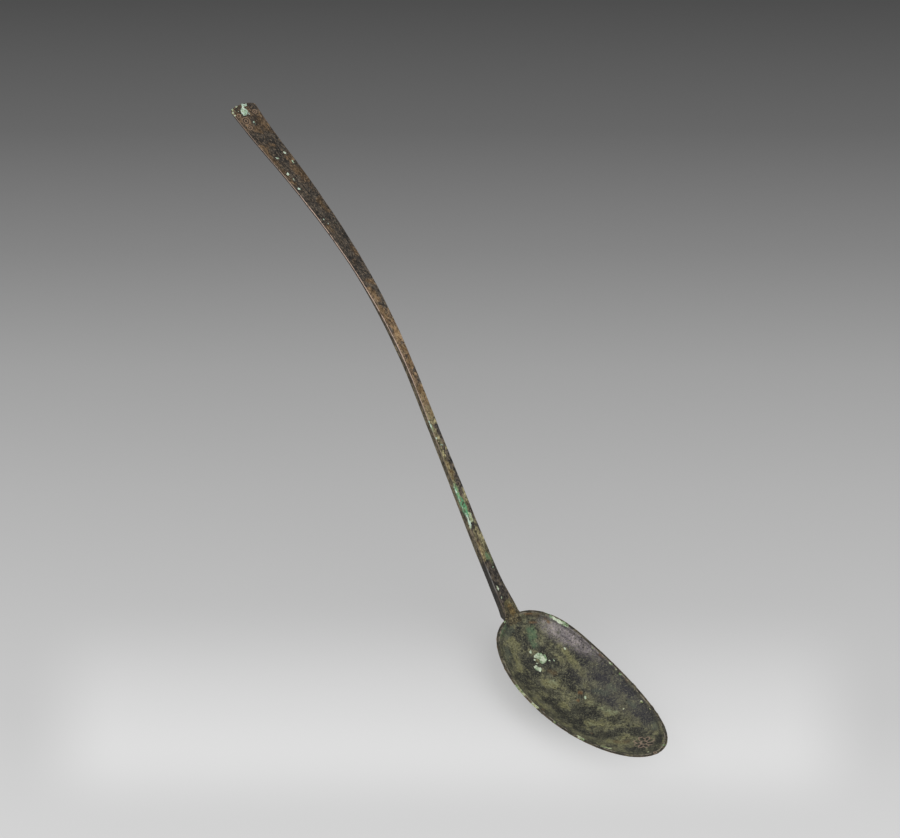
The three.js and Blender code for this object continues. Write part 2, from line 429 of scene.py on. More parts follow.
# Patches of patina in the bowl
DARK_PATCHES = strips_on(in_bowl, [
    (-20.8, -5.0, -15.6, -3.0, 2.1), (-23.7, -1.5, -24.1, 1.5, 1.1), (-15.0, -10.7, -12.3, -10.6, 1.5),
    (-15.2, 2.0, -14.2, 4.6, 1.7), (-20.3, 3.6, -22.0, 1.4, 1.0), (-7.6, 6.3, -5.5, 5.6, 2.2),
    (-2.7, -5.3, -3.3, -8.4, 1.4), (5.4, -8.7, 8.8, -6.4, 2.2), (7.4, 0.8, 9.6, 2.0, 2.2),
    (0.4, 11.7, 1.7, 12.4, 1.6), (12.3, -9.0, 17.7, -6.8, 1.5), (8.2, 14.3, 14.2, 13.4, 1.2),
    (20.2, 11.4, 24.8, 10.2, 1.9), (20.7, 2.2, 19.0, -1.2, 1.4), (-10.7, 12.6, -8.0, 12.3, 1.5),
    (-15.4, 12.5, -14.0, 12.0, 0.8), (-28.9, 1.3, -26.1, -2.8, 0.9), (8.3, 8.0, 9.0, 8.8, 1.0),
    (33.3, 6.4, 34.2, 4.8, 0.9), (25.4, 5.3, 27.6, 4.2, 1.3), (30.2, -4.4, 33.4, -3.6, 1.0),
    (0.6, -8.6, 4.6, -4.6, 1.4), (4.0, -1.8, 6.4, 1.0, 1.6), (21.5, 1.8, 25.0, 4.0, 1.5),
])
OLIVE_PATCHES = strips_on(in_bowl, [
    (-10.2, -3.2, -8.2, 0.9, 1.5), (-25.4, -4.9, -21.0, -6.4, 2.1), (-20.2, -7.4, -17.0, -9.0, 1.4),
    (-1.4, -4.2, 0.6, -3.4, 1.4), (10.8, -2.8, 12.8, 0.6, 1.5), (17.6, 7.4, 22.6, 7.2, 1.7),
    (13.6, 9.8, 15.0, 9.9, 1.2), (-17.6, 9.3, -10.3, 9.8, 0.7), (-10.3, 9.8, -4.6, 9.6, 0.8),
    (-1.6, 7.7, 0.2, 9.2, 1.3), (22.8, 0.2, 23.6, 1.6, 1.3), (35.4, 6.0, 36.4, 5.0, 0.7),
    (-4.8, -13.2, -1.0, -12.6, 1.0), (22.6, -5.6, 26.0, -3.2, 1.2), (12.0, 5.0, 16.4, 8.6, 1.2),
])
PALE_PATCHES = strips_on(in_bowl, [
    (8.2, 5.0, 12.9, 6.4, 0.8), (4.8, 4.2, 8.2, 5.0, 0.45), (-9.4, -1.6, -9.0, 0.2, 0.6),
    (11.8, -2.6, 12.2, -2.2, 0.7),
])
GREY_GREEN_PATCHES = strips_on(in_bowl, [
    (4.8, 12.1, 6.8, 12.3, 1.0), (2.2, 8.2, 5.2, 9.6, 0.8), (27.5, 9.8, 29.0, 8.7, 1.3),
    (13.3, 11.5, 16.6, 11.2, 0.8), (-29.4, -3.2, -28.2, -6.0, 1.3), (-23.6, -9.4, -21.4, -11.2, 1.5),
])
GREEN_STAINS = strips_on(in_bowl, [
    (-26.8, 3.3, -24.3, 2.5, 1.0), (-25.6, 4.4, -24.4, 3.4, 1.1), (-24.2, 3.0, -22.4, 1.8, 0.7),
    (-30.6, -4.6, -28.6, -8.8, 0.35),
])
RED_STAINS = strips_on(in_bowl, [
    (-1.2, 4.5, -0.8, 4.4, 0.65), (0.7, 1.8, 1.0, 1.7, 0.5), (-26.7, 9.7, -26.5, 9.9, 0.25),
    (-25.7, 10.4, -25.3, 10.5, 0.4), (-31.4, 4.4, -30.2, 6.6, 0.35), (6.2, 16.4, 7.8, 16.2, 0.35),
    (-5.8, 16.2, -4.4, 16.5, 0.3), (15.4, -6.7, 15.9, -6.5, 0.25), (0.4, -15.3, 1.0, -15.1, 0.42),
    (-28.4, 4.7, -27.5, 6.8, 0.14),
])
BROWN_PATCHES = strips_on(in_bowl, [
    (24.4, -3.6, 26.4, -1.4, 1.2), (-13.0, 1.3, -11.8, 1.9, 0.7), (-30.9, 5.6, -29.2, 8.6, 0.8),
])
BLACK_PITS = strips_on(in_bowl, [
    (-26.4, 9.3, 0.22), (-27.8, 10.3, -27.7, 10.4, 0.2), (-11.4, 14.3, -11.3, 14.4, 0.22),
    (-28.8, 5.3, -28.1, 6.6, 0.16),
])

END_CRUSTS = strips_on(on_handle, [
    (191.8, -0.9, 191.4, -1.1, 1.15), (193.9, -0.3, 192.6, -0.6, 0.34), (194.0, 0.1, 193.6, 1.1, 0.46),
    (194.6, -0.3, 194.4, -0.1, 0.25), (190.4, 0.1, 189.9, 0.2, 0.18), (187.1, -0.2, 186.7, -0.3, 0.22),
    (186.1, -0.3, 0.14),
])
END_MOSS = strips_on(on_handle, [
    (194.4, -2.2, 194.3, -2.6, 0.26), (193.8, -3.1, 0.16), (193.9, -4.2, 193.5, -4.7, 0.3),
    (193.2, -3.8, 0.16), (192.8, -4.9, 192.4, -5.0, 0.28), (191.8, -4.9, 191.6, -4.9, 0.2),
    (192.6, -2.9, 0.14), (193.4, -1.6, 0.14),
])
BLADE_CRUSTS = strips_on(on_handle, [
    (171.5, -1.8, 171.3, -1.6, 0.42), (172.5, 1.8, 172.1, 2.0, 0.36), (168.4, 2.3, 167.6, 2.2, 0.26),
    (164.5, -2.4, 164.4, -2.7, 0.38), (162.0, -2.0, 0.24), (158.0, -2.6, 157.9, -2.8, 0.33),
    (141.8, 1.1, 0.15), (142.4, -1.8, 0.16), (144.6, -2.2, 0.22),
])
SHANK_CRUSTS = strips_on(on_handle, [
    (36.6, -1.4, 35.0, -1.3, 0.3), (35.0, -1.3, 31.6, -1.7, 0.36), (69.6, -1.5, 67.4, -1.4, 0.2),
    (60.8, -0.5, 60.4, 0.1, 0.2), (63.6, -1.3, 63.0, -1.2, 0.2),
]) + strips_on(on_handle, [
    (46.2, -1.8, 43.8, -1.9, 0.26), (42.6, -1.9, 41.0, -1.8, 0.16), (39.2, -1.6, 38.2, -1.5, 0.14),
], sink=0.2)
SHANK_MOSS = strips_on(on_handle, [
    (35.8, -0.1, 33.4, -0.3, 0.6), (10.0, -1.0, 9.0, -1.0, 0.22), (16.6, 0.3, 16.5, 0.7, 0.12),
    (6.2, -1.2, 5.8, -1.3, 0.14), (8.0, 0.4, 7.8, 0.5, 0.12),
]) + strips_on(on_handle, [
    (32.7, -1.9, 31.0, -2.2, 0.26),
], sink=0.2)
EMERALD_STAINS = strips_on(on_handle, [
    (41.0, -1.3, 36.2, -0.9, 0.9), (67.5, -1.2, 65.8, -1.2, 0.25),
]) + strips_on(on_handle, [
    (45.4, -1.5, 41.0, -1.4, 0.55),
], sink=0.2)
SOFT_GREENS = strips_on(on_handle, [
    (20.8, 0.2, 18.6, 0.9, 0.5), (47.0, -1.2, 46.0, -1.2, 0.4),
])
HANDLE_MOSS = END_MOSS + SHANK_MOSS
HANDLE_CRUSTS = END_CRUSTS + BLADE_CRUSTS + SHANK_CRUSTS + HANDLE_MOSS

# Patches of patina on the handle
CHARCOAL_PATCHES = strips_on(on_handle, [
    (181.4, -1.4, 179.0, -2.2, 1.0), (181.2, 1.7, 177.2, 2.4, 1.0), (175.9, 2.6, 172.8, -2.6, 0.8),
    (169.6, -0.2, 167.2, -2.0, 1.1), (162.6, -2.6, 161.2, -2.4, 1.0), (157.3, -1.1, 152.6, -2.1, 1.3),
    (152.6, -2.2, 146.6, -1.9, 1.2), (142.6, 0.6, 133.3, -0.8, 1.3), (133.3, -1.6, 124.8, -1.2, 0.9),
    (123.6, 0.4, 120.6, 1.0, 0.9), (117.8, 0.2, 114.4, 1.0, 0.7), (112.4, 1.5, 110.2, 1.4, 0.7),
    (102.0, -0.8, 101.4, 0.6, 0.5), (96.4, 0.8, 95.4, 0.6, 0.5), (92.2, 0.2, 91.6, 0.0, 0.45),
    (87.4, 1.0, 86.4, 1.0, 0.5), (83.6, 0.9, 81.2, 1.0, 0.7), (66.6, 1.0, 62.4, 1.2, 0.75),
    (59.6, 0.0, 57.2, 0.8, 0.7), (54.8, 0.5, 46.4, 0.9, 0.75), (26.2, -1.3, 25.6, -1.2, 0.4),
    (20.4, -1.2, 19.0, -0.6, 0.5), (17.4, -1.2, 8.6, 0.5, 1.7), (6.8, -1.6, 0.4, -2.8, 0.9),
    (192.2, 3.6, 191.2, 3.2, 0.6),
])
GOLDEN_PATCHES = strips_on(on_handle, [
    (183.6, 2.6, 182.4, 2.2, 0.9), (187.8, 2.9, 186.2, 1.8, 1.0), (184.4, 0.0, 182.8, -0.4, 0.8),
    (178.0, -3.6, 160.4, -3.0, 0.6), (170.4, 2.8, 169.4, 2.6, 0.7), (165.4, 1.4, 160.6, 2.6, 1.2),
    (176.8, 0.6, 176.0, 0.4, 0.5), (151.4, 0.9, 147.0, 1.2, 0.6), (141.6, -2.2, 139.8, -1.4, 0.5),
    (132.2, 0.6, 130.0, 1.2, 0.6), (127.4, -1.4, 127.0, -1.4, 0.3), (119.8, -0.4, 118.6, 0.8, 0.7),
    (117.2, -1.3, 112.8, -0.2, 0.6), (109.4, -1.0, 104.8, -0.6, 0.7), (104.0, 0.4, 98.0, 0.0, 0.8),
    (94.8, 0.6, 92.4, 0.9, 0.7), (90.2, 0.5, 88.6, 0.4, 0.6), (80.8, 0.2, 75.6, 1.0, 0.9),
    (73.0, 0.8, 70.6, 0.7, 0.6), (55.6, -1.0, 48.8, -0.8, 0.5), (25.6, -1.2, 22.6, -1.3, 0.6),
    (22.4, -0.8, 20.2, -1.5, 0.6), (18.2, 0.6, 17.6, 0.2, 0.3), (3.4, 0.4, 0.6, 1.2, 0.9),
])

# Punched rings on the blade: distance from the heel, place across, radius
BLADE_RINGS = [
    (190.3, 2.6, 0.7),
    (191.1, -3.6, 0.6),
    (188.4, -2.5, 1.35),
    (188.4, -2.5, 0.62),
    (185.6, -2.9, 0.8),
]
BLADE_RING_DOTS = [(185.7, -2.9, 0.14), (190.3, 2.6, 0.12)]
TIP_RING = (38.15, -1.1, 0.42)


def line_cover(gap):
    """1 on an engraved line, from the distance to its middle."""
    return soft_step(1.3 - np.abs(gap) / ORNAMENT_LINE)


def rosette_lines(points):
    """Outlines of the petals, and the worn hollows inside them."""
    x = points[:, 0] - ROSETTE_PLACE[0] + ripple(points, 1.8, seed=11) * ROSETTE_WOBBLE
    y = points[:, 1] - ROSETTE_PLACE[1] + ripple(points, 1.8, seed=12) * ROSETTE_WOBBLE
    distance = np.hypot(x, y)
    petal = TURNS / ROSETTE_PETALS
    off_axis = (np.arctan2(y, x) - ROSETTE_TURN + petal / 2) % petal - petal / 2
    along = (distance * np.cos(off_axis) - PETAL_MIDDLE) / PETAL_HALF_LENGTH
    across = distance * np.sin(off_axis) / PETAL_HALF_WIDTH
    gap = (np.hypot(along, across) - 1) * PETAL_HALF_WIDTH
    worn = soft_step(0.7 + ripple(points, 1.1, seed=13) * 2.0)
    near = distance < ROSETTE_RADIUS * 1.2
    return line_cover(gap) * near * lerp(0.1, 1.0, worn), soft_step(-gap / 0.4) * near


def rings(points, places):
    """Punched rings, and the hollows inside them."""
    lines = np.zeros(len(points))
    hollow = np.zeros(len(points))
    for centre, radius in places:
        gap = np.linalg.norm(points - centre, axis=1) - radius
        lines = np.maximum(lines, line_cover(gap))
        hollow = np.maximum(hollow, soft_step(-gap / 0.3))
    return lines, hollow


# Bowl. Depths and heights of its relief are in millimetres.
BOWL_TURNS = 420
OUTER_ROWS = 26
INNER_ROWS = 60
REST_MARGIN = 0.3  # the flat that the bowl rests on stays smooth up to this height
HAMMER_DEPTH = 0.05
FINE_HAMMER_DEPTH = 0.02
PIT_DEPTH = 0.05
NICK_DEPTH = 0.2
BLACK_PIT_DEPTH = 0.2
BOWL_CRUST_HEIGHT = 0.2
BOWL_CRUST_LUMPS = 0.14
BOWL_HOLLOW_DEPTH = 0.05
WORN_UNDERSIDE = 0.05
RIM_SHADOW_REACH = 0.967  # a painted shadow line just inside the rim's bead
RIM_SHADOW_WIDTH = 0.014
# The rim's cross-section from its outer edge inwards: inset, drop, and how much it is the brink or the bead
RIM_PROFILE = [
    (0.10, 0.14, 0.6, 0), (0.03, 0.05, 1, 0), (0.10, 0.00, 1, 0), (0.24, 0.02, 0.2, 0), (0.40, 0.05, 0, 0),
    (0.62, 0.05, 0, 0), (0.76, 0.01, 0, 0.2), (0.86, -0.03, 0, 1), (0.95, -0.02, 0, 1), (1.00, 0.05, 0, 0.3),
]


def bowl_mesh():
    turn = np.linspace(0, TURNS, BOWL_TURNS, endpoint=False)
    rows = [outer_skin(turn, reach) for reach in np.linspace(REST_REACH / 2, 0.985, OUTER_ROWS)]
    rows += [rim_point(turn, inset, drop) for inset, drop, brink, bead in RIM_PROFILE]
    rows += [inner_skin(turn, reach) for reach in np.linspace(0.99, 0.02, INNER_ROWS)]
    points = np.concatenate(rows)
    faces = tube_faces(len(rows), BOWL_TURNS)
    under, over = len(points), len(points) + 1
    top_ring = (len(rows) - 1) * BOWL_TURNS
    for k in range(BOWL_TURNS):
        after = (k + 1) % BOWL_TURNS
        faces.append((under, after, k))
        faces.append((over, top_ring + k, top_ring + after))
    points = np.concatenate([points, [[0, 0, 0], [0, 0, FLOOR_THICKNESS]]])
    piece = new_piece("bronze_bowl", points, faces)
    brink, bead = np.zeros(len(points)), np.zeros(len(points))
    for k, row in enumerate(RIM_PROFILE):
        ring = slice((OUTER_ROWS + k) * BOWL_TURNS, (OUTER_ROWS + k + 1) * BOWL_TURNS)
        brink[ring], bead[ring] = row[2], row[3]
    paint(piece, brink=brink, bead=bead)
    return piece


def bowl_regions(points):
    """Where a point of the bowl lies: on the inside, and on the rim's lip."""
    x, y, z = points.T
    reach = np.hypot(x, y) / looked_up(LOOKUP_RADIUS, x, y)
    inside = (z > inside_height(x, y) - 0.15) & (reach < 1.0)
    lip = (reach >= 0.995) & (z > looked_up(rim_height(LOOKUP_TURN), x, y) - 0.2)
    return inside.astype(float), lip.astype(float)


def make_bowl():
    piece = bowl_mesh()
    rosette_spot = in_bowl(*ROSETTE_PLACE)
    tip_spot = in_bowl(*TIP_RING[:2])
    ornament = [(rosette_spot, rosette_spot, ROSETTE_RADIUS), (tip_spot, tip_spot, TIP_RING[2])]
    refine(piece, ornament, (1.0, 0.5))
    refine(piece, BOWL_CRUSTS, (0.8,))
    points = coordinates(piece)
    normals = directions(piece)
    inside, lip = bowl_regions(points)
    on_inside = inside > 0
    points[on_inside, 2] = inside_height(points[on_inside, 0], points[on_inside, 1])
    crust = cover(points, BOWL_CRUSTS, ragged=0.35, seed=1, grain=0.7)
    lines, hollow = rosette_lines(points)
    ring, ring_hollow = rings(points, [(tip_spot, TIP_RING[2])])
    lines = np.maximum(lines * inside, ring)
    hollow = np.maximum(hollow * inside, ring_hollow)
    calm = np.where(points[:, 2] < REST_MARGIN, 0, 1)
    hammered = ripple(points, 6.0, seed=2) * HAMMER_DEPTH + ripple(points, 2.2, seed=8) * FINE_HAMMER_DEPTH
    pitted = np.clip(ripple(points, 1.4, seed=3), -1, 0) * PIT_DEPTH
    nicks = np.clip(ripple(points, 1.5, seed=4) - 0.2, 0, 1) * lip * NICK_DEPTH
    black = cover(points, BLACK_PITS, edge=0.15, ragged=0.1, seed=9)
    relief = (hammered * (1 - lip) + pitted) * calm - nicks - black * BLACK_PIT_DEPTH
    relief += crust * (BOWL_CRUST_HEIGHT + BOWL_CRUST_LUMPS * ripple(points, 0.45, seed=5))
    relief += lines * ORNAMENT_DEPTH - hollow * BOWL_HOLLOW_DEPTH
    relief -= (1 - inside) * (1 - lip) * WORN_UNDERSIDE * calm
    reshape(piece, points + normals * relief[:, None])
    x, y = points[:, 0], points[:, 1]
    reach = np.hypot(x, y) / looked_up(LOOKUP_RADIUS, x, y)
    # Painted sheen: the far wall by the heel is painted lighter and pinkish grey where the light glances off
    # it; its polish is also a little glossier there.
    painted_heel_sheen_and_polish = rising(y - 0.4 * x, 15.4, 20.4) * rising(x, -31, -22) * rising(x, 10, -7)
    # Painted shade: a dark bluish band on the far wall, from the middle towards the tip.
    painted_far_shade = rising(y, 4, 9) * rising(x, -14, -2) * rising(x, 34, 22)
    # painted shadow line just inside the rim's bead
    groove = soft_step(1.5 - np.abs(reach - RIM_SHADOW_REACH) / RIM_SHADOW_WIDTH) * inside
    paint(
        piece, crust=crust, lines=lines, hollow=hollow, black=black, inside=inside, lip=lip, groove=groove,
        sheen=painted_heel_sheen_and_polish * inside, dusk=painted_far_shade * inside,
        moss=cover(points, FAR_RIM_CRUSTS[4:] + NEAR_RIM_CRUSTS + INSIDE_CRUMBS[1:], edge=0.8),
        tone=patches(points, OLIVE_PATCHES, 14) - patches(points, DARK_PATCHES, 15),
        pale=patches(points, PALE_PATCHES, 16),
        haze=patches(points, GREY_GREEN_PATCHES, 17),
        brown=patches(points, BROWN_PATCHES, 18),
        stain=cover(points, GREEN_STAINS, edge=1.6, ragged=1.0, seed=6),
        red=cover(points, RED_STAINS, edge=0.5, ragged=0.5, seed=7, grain=0.7))
    return piece


# Handle
CORNER_STEPS = 4
SIDE_STEPS = 5
TOP_STEPS = 26
BOTTOM_STEPS = 12
END_ROUNDING = 0.3
FORGED_DEPTH = 0.05
DRAWN_DEPTH = 0.012  # fine furrows along the handle
HANDLE_PIT_DEPTH = 0.06
HANDLE_WEAR = 0.03
HANDLE_CRUST_HEIGHT = 0.15
HANDLE_CRUST_LUMPS = 0.12
HANDLE_HOLLOW_DEPTH = 0.04
TONGUE_SECTIONS = 26
SHANK_SECTIONS = 260
BLADE_SECTIONS = 62
END_SECTIONS = 4
FINE_LENGTH = 24  # the end of the blade, where the sections lie closer together
SECTION_GAP = 0.4
FAR_EDGE_SHARE = 0.15  # the far upper edge's share of the near one's wear and painted highlight


def section_points(width, thickness):
    """One cross-section as (across, up, edge), going round from the upper left corner. Edge is 1 on the upper
    corners, where the metal is worn and a highlight is painted."""
    upper = min(UPPER_EDGE, thickness / 3)
    lower = min(LOWER_EDGE, thickness / 3)
    half = width / 2
    side = []
    for k in range(CORNER_STEPS + 1):
        angle = math.pi / 2 * (1 - k / CORNER_STEPS)
        side.append((half - upper * (1 - math.cos(angle)), -upper * (1 - math.sin(angle)), 1.0))
    drop = thickness - upper - lower
    for k in range(1, SIDE_STEPS):
        side.append((half, -upper - drop * k / SIDE_STEPS, 0.0))
    for k in range(CORNER_STEPS + 1):
        angle = math.pi / 2 * k / CORNER_STEPS
        side.append((half - lower * (1 - math.cos(angle)), -thickness + lower * (1 - math.sin(angle)), 0.0))
    top = []
    for k in range(1, TOP_STEPS):
        share = math.sin(math.pi / 2 * (2 * k / TOP_STEPS - 1))
        top.append((share * (half - upper), 0.0, 0.0))
    bottom = []
    for k in range(1, BOTTOM_STEPS):
        bottom.append((lerp(half - lower, lower - half, k / BOTTOM_STEPS), -thickness, 0.0))
    left = [(-across, up, edge) for across, up, edge in reversed(side)]
    return top + side + bottom + left


def tongue_station(behind):
    """Top point, slope, width and thickness of the root where it runs on under the bowl."""
    share = behind / TONGUE_LENGTH
    reach = 1 + behind / HEEL_X
    slope = math.radians(heel_slope(reach))
    above = ROOT_STEP * math.cos(math.radians(HEEL_SLOPE)) * lerp(1, 0.4, float(soft_step(behind / 3)))
    below = lerp(ROOT_THICKNESS - ROOT_STEP * math.cos(math.radians(HEEL_SLOPE)), TONGUE_TIP_THICKNESS, share)
    top = outer_skin(0.0, reach) + np.array([math.sin(slope), 0, math.cos(slope)]) * above
    tip = math.sqrt(max(0.0, 1 - max(0.0, (share - 0.85) / 0.15) ** 2))
    width = lerp(ROOT_WIDTH, TONGUE_TIP_WIDTH, share) * max(tip, 0.15)
    return top, slope, width, above + below * max(tip, 0.3)


def handle_station(distance):
    if distance < 0:
        return tongue_station(-distance)
    slope = float(handle_slope(distance))
    return on_handle(distance), slope, float(handle_width(distance)), float(handle_thickness(distance))


def handle_distances():
    fine_start = HANDLE_LENGTH - FINE_LENGTH
    tongue = np.linspace(-TONGUE_LENGTH, -SECTION_GAP, TONGUE_SECTIONS)
    shank = np.linspace(0, fine_start, SHANK_SECTIONS)
    blade = np.linspace(fine_start + SECTION_GAP, HANDLE_LENGTH - END_ROUNDING, BLADE_SECTIONS)
    end = HANDLE_LENGTH - END_ROUNDING * (1 - np.sin(np.linspace(0.3, math.pi / 2, END_SECTIONS)))
    return np.concatenate([tongue, shank, blade, end])


def make_handle():
    points, worn_edge_and_highlight, along, girth = [], [], [], []
    for distance in handle_distances():
        top, slope, width, thickness = handle_station(distance)
        from_end = HANDLE_LENGTH - distance
        rounding = max(0.0, 1 - from_end / END_ROUNDING)
        tuck = 0.45 * thickness * (1 - math.sqrt(max(0.0, 1 - rounding ** 2)))
        follow = float(soft_step((END_REACH - from_end) / END_REACH))
        up_way = np.array([math.sin(slope), 0, math.cos(slope)])
        end_way = np.array([-math.cos(slope), 0, math.sin(slope)])
        walked = 0.0
        before = None
        for across, up, edge in section_points(width, thickness):
            squeezed = up + tuck if up < -thickness / 2 else up - tuck
            setback = end_setback(min(max(across, -END_WIDTH / 2), END_WIDTH / 2)) * follow
            point = top + up_way * squeezed - end_way * setback
            point[1] += across + float(handle_drift(distance))
            walked += 0 if before is None else math.dist(before, (across, up))
            before = (across, up)
            points.append(point)
            # the upper edges are worn and carry a painted highlight, strong on the near side and faint on the
            # far one
            worn_edge_and_highlight.append(edge * (1.0 if across < 0 else FAR_EDGE_SHARE))
            along.append(distance - setback)
            girth.append(walked)
    count = len(section_points(1.0, 1.0))
    sections = len(points) // count
    faces = tube_faces(sections, count)
    faces.append(tuple(reversed(range(count))))
    faces.append(tuple((sections - 1) * count + k for k in range(count)))
    piece = new_piece("bronze_handle", points, faces)
    paint(piece, edge=worn_edge_and_highlight, along=np.array(along) * MM, girth=np.array(girth) * MM)
    faces_outwards(piece)
    refine(piece, strips_on(on_handle, BLADE_RINGS), (0.8, 0.4))
    refine(piece, HANDLE_CRUSTS, (0.6,))
    shape_handle(piece)
    return piece


def shape_handle(piece):
    points = coordinates(piece)
    normals = directions(piece)
    along = read_paint(piece, "along") / MM
    crust = cover(points, HANDLE_CRUSTS, ragged=0.26, seed=21, grain=0.6)
    punched = BLADE_RINGS + BLADE_RING_DOTS
    places = [(on_handle(distance, across), radius) for distance, across, radius in punched]
    lines, hollow = rings(points, places)
    lines *= normals[:, 2] > 0.5
    hollow *= normals[:, 2] > 0.5
    long_grain = points * np.array([0.12, 1.0, 0.12])
    relief = ripple(points, 7.0, seed=22) * FORGED_DEPTH + ripple(long_grain, 0.7, seed=23) * DRAWN_DEPTH
    relief += np.clip(ripple(points, 1.1, seed=24) + 0.1, -1, 0) * HANDLE_PIT_DEPTH - HANDLE_WEAR
    relief += lines * ORNAMENT_DEPTH - hollow * HANDLE_HOLLOW_DEPTH
    relief += crust * (HANDLE_CRUST_HEIGHT + HANDLE_CRUST_LUMPS * ripple(points, 0.45, seed=25))
    reshape(piece, points + normals * relief[:, None])
    emerald = cover(points, EMERALD_STAINS, edge=0.6, ragged=0.5, seed=26, grain=0.7)
    mossy = cover(points, HANDLE_MOSS, edge=0.8)
    golden = patches(points, GOLDEN_PATCHES, 28)
    charcoal = patches(points, CHARCOAL_PATCHES, 29)
    paint(
        piece, crust=crust, lines=lines, hollow=hollow, golden=golden,
        stain=np.maximum(emerald, 0.4 * patches(points, SOFT_GREENS, 30)),
        moss=np.maximum(mossy, 0.45 * cover(points, BLADE_CRUSTS, edge=0.8)),
        warm=warmth(points, along) + 0.6 * golden - 0.75 * charcoal,
        # painted light and shade: faces that turn away from the top are coloured as the handle's sides
        side=soft_step((0.45 - normals[:, 2]) / 0.4))


# How brown the handle is, against how dark: distance from the heel, share
BROWN_STRETCHES = [
    (0, 0.6), (4, 0.5), (7, 0.2), (17, 0.2), (19, 0.6), (26, 0.7), (30, 0.4), (45, 0.6), (60, 0.7), (75, 0.9),
    (100, 0.8), (112, 0.55), (125, 0.3), (150, 0.3), (160, 0.45), (175, 0.4), (190, 0.6),
]


def warmth(points, along):
    places, shares = zip(*BROWN_STRETCHES)
    patchy = ripple(points * np.array([0.5, 1.0, 0.5]), 1.6, seed=27, octaves=4)
    return np.interp(along, places, shares) + patchy * 0.35


# Solder, spread over the lap from the root's top down into the bowl
SOLDER_START = 5.0  # along the root, from the heel
SOLDER_END_X = -29.3  # its lowest reach inside the bowl
SOLDER_ROWS = 110
SOLDER_COLUMNS = 64
SOLDER_SPREAD = 3.0
SOLDER_SOFTNESS = 0.35  # of the hollow between root and bowl
SOLDER_RISE = 0.13
SOLDER_SINK = 0.12
SOLDER_LUMPS = 0.05
SOLDER_TUCK = 0.35  # its edge dips this far into the metal
SOLDER_THICKNESS = 0.5
GOLD_SOLDER = strips_on(on_handle, [(3.6, 0.5, -0.6, 0.7, 1.0)])


def solder_top(x, y):
    """The root's top and the bowl's inside, joined by a soft hollow."""
    root = np.interp(-x, -LINE_X[:200], LINE_Z[:200])
    past_heel = np.clip(x - HEEL_X, 0, None)
    root = root - past_heel * math.tan(math.radians(HEEL_SLOPE))
    bowl = np.where(x > HEEL_X + 0.3, inside_height(x, y), -50.0)
    high = np.maximum(root, bowl)
    low = np.maximum(np.minimum(root, bowl), high - 20)
    return high + SOLDER_SOFTNESS * np.exp(-(high - low) / SOLDER_SOFTNESS) * 0.4


def make_solder():
    start_x = float(np.interp(SOLDER_START, LINE_DISTANCE, LINE_X))
    points = []
    fade = []
    for x in np.linspace(start_x, SOLDER_END_X, SOLDER_ROWS):
        into_bowl = float(soft_step((x - HEEL_X + 0.6) / 3.2))
        root_half = float(handle_width(max(0.0, (HEEL_X - x) * 1.3))) / 2 - 0.2
        end_round = math.sqrt(max(0.0, 1 - max(0.0, (x - HEEL_X - 2.5) / (SOLDER_END_X - HEEL_X - 2.5)) ** 2))
        half = lerp(root_half, SOLDER_SPREAD, into_bowl) * max(end_round, 0.02)
        for share in np.linspace(-1, 1, SOLDER_COLUMNS):
            y = half * share
            points.append((x, y, float(solder_top(np.array(x), np.array(y)))))
            fade.append(min(1.0, (1 - abs(share)) * 3.0, (x - start_x) / 2.5, (SOLDER_END_X - x) / 2.0))
    points = np.array(points)
    fade = soft_step(np.array(fade))
    lumps = ripple(points, 0.55, seed=31, octaves=4)
    ragged = ripple(points, 1.6, seed=32)
    rise = SOLDER_RISE * soft_step(fade * 1.5 + ragged * 0.5) - SOLDER_SINK + lumps * SOLDER_LUMPS * fade
    top = points.copy()
    top[:, 2] += rise - (1 - soft_step(fade * 4)) * SOLDER_TUCK
    under = top - np.array([0, 0, SOLDER_THICKNESS])
    count = len(top)
    faces = []
    for row in range(SOLDER_ROWS - 1):
        for column in range(SOLDER_COLUMNS - 1):
            a = row * SOLDER_COLUMNS + column
            b, c, d = a + 1, a + SOLDER_COLUMNS + 1, a + SOLDER_COLUMNS
            faces.append((a, d, c, b))
            faces.append((count + a, count + b, count + c, count + d))
    grid = np.arange(count).reshape(SOLDER_ROWS, SOLDER_COLUMNS)
    rim = np.concatenate([grid[0], grid[1:, -1], grid[-1, -2::-1], grid[-2:0:-1, 0]]).tolist()
    for here, after in zip(rim, rim[1:] + rim[:1]):
        faces.append((here, after, count + after, count + here))
    piece = new_piece("neck_solder", keep_in_box(np.concatenate([top, under])), faces)
    paint(piece, golden=cover(coordinates(piece), GOLD_SOLDER, edge=0.9, ragged=0.6, seed=33))
    faces_outwards(piece)
    return piece


# Grains of green corrosion, strewn over the crusts
GRAIN_SIZE = 0.2
GRAINS_PER_SQUARE_MM = 9.0
GRAIN_SEED = 7


def crust_carrier(pieces):
    """The crusted faces of the finished pieces, as one bare mesh."""
    carrier = bmesh.new()
    for piece in pieces:
        crust = read_paint(piece, "crust")
        made = {}
        for polygon in piece.data.polygons:
            if min(crust[k] for k in polygon.vertices) < 0.8:
                continue
            corners = []
            for k in polygon.vertices:
                if k not in made:
                    made[k] = carrier.verts.new(piece.data.vertices[k].co)
                corners.append(made[k])
            carrier.faces.new(corners)
    mesh = bpy.data.meshes.new("crust_carrier")
    carrier.to_mesh(mesh)
    carrier.free()
    return mesh


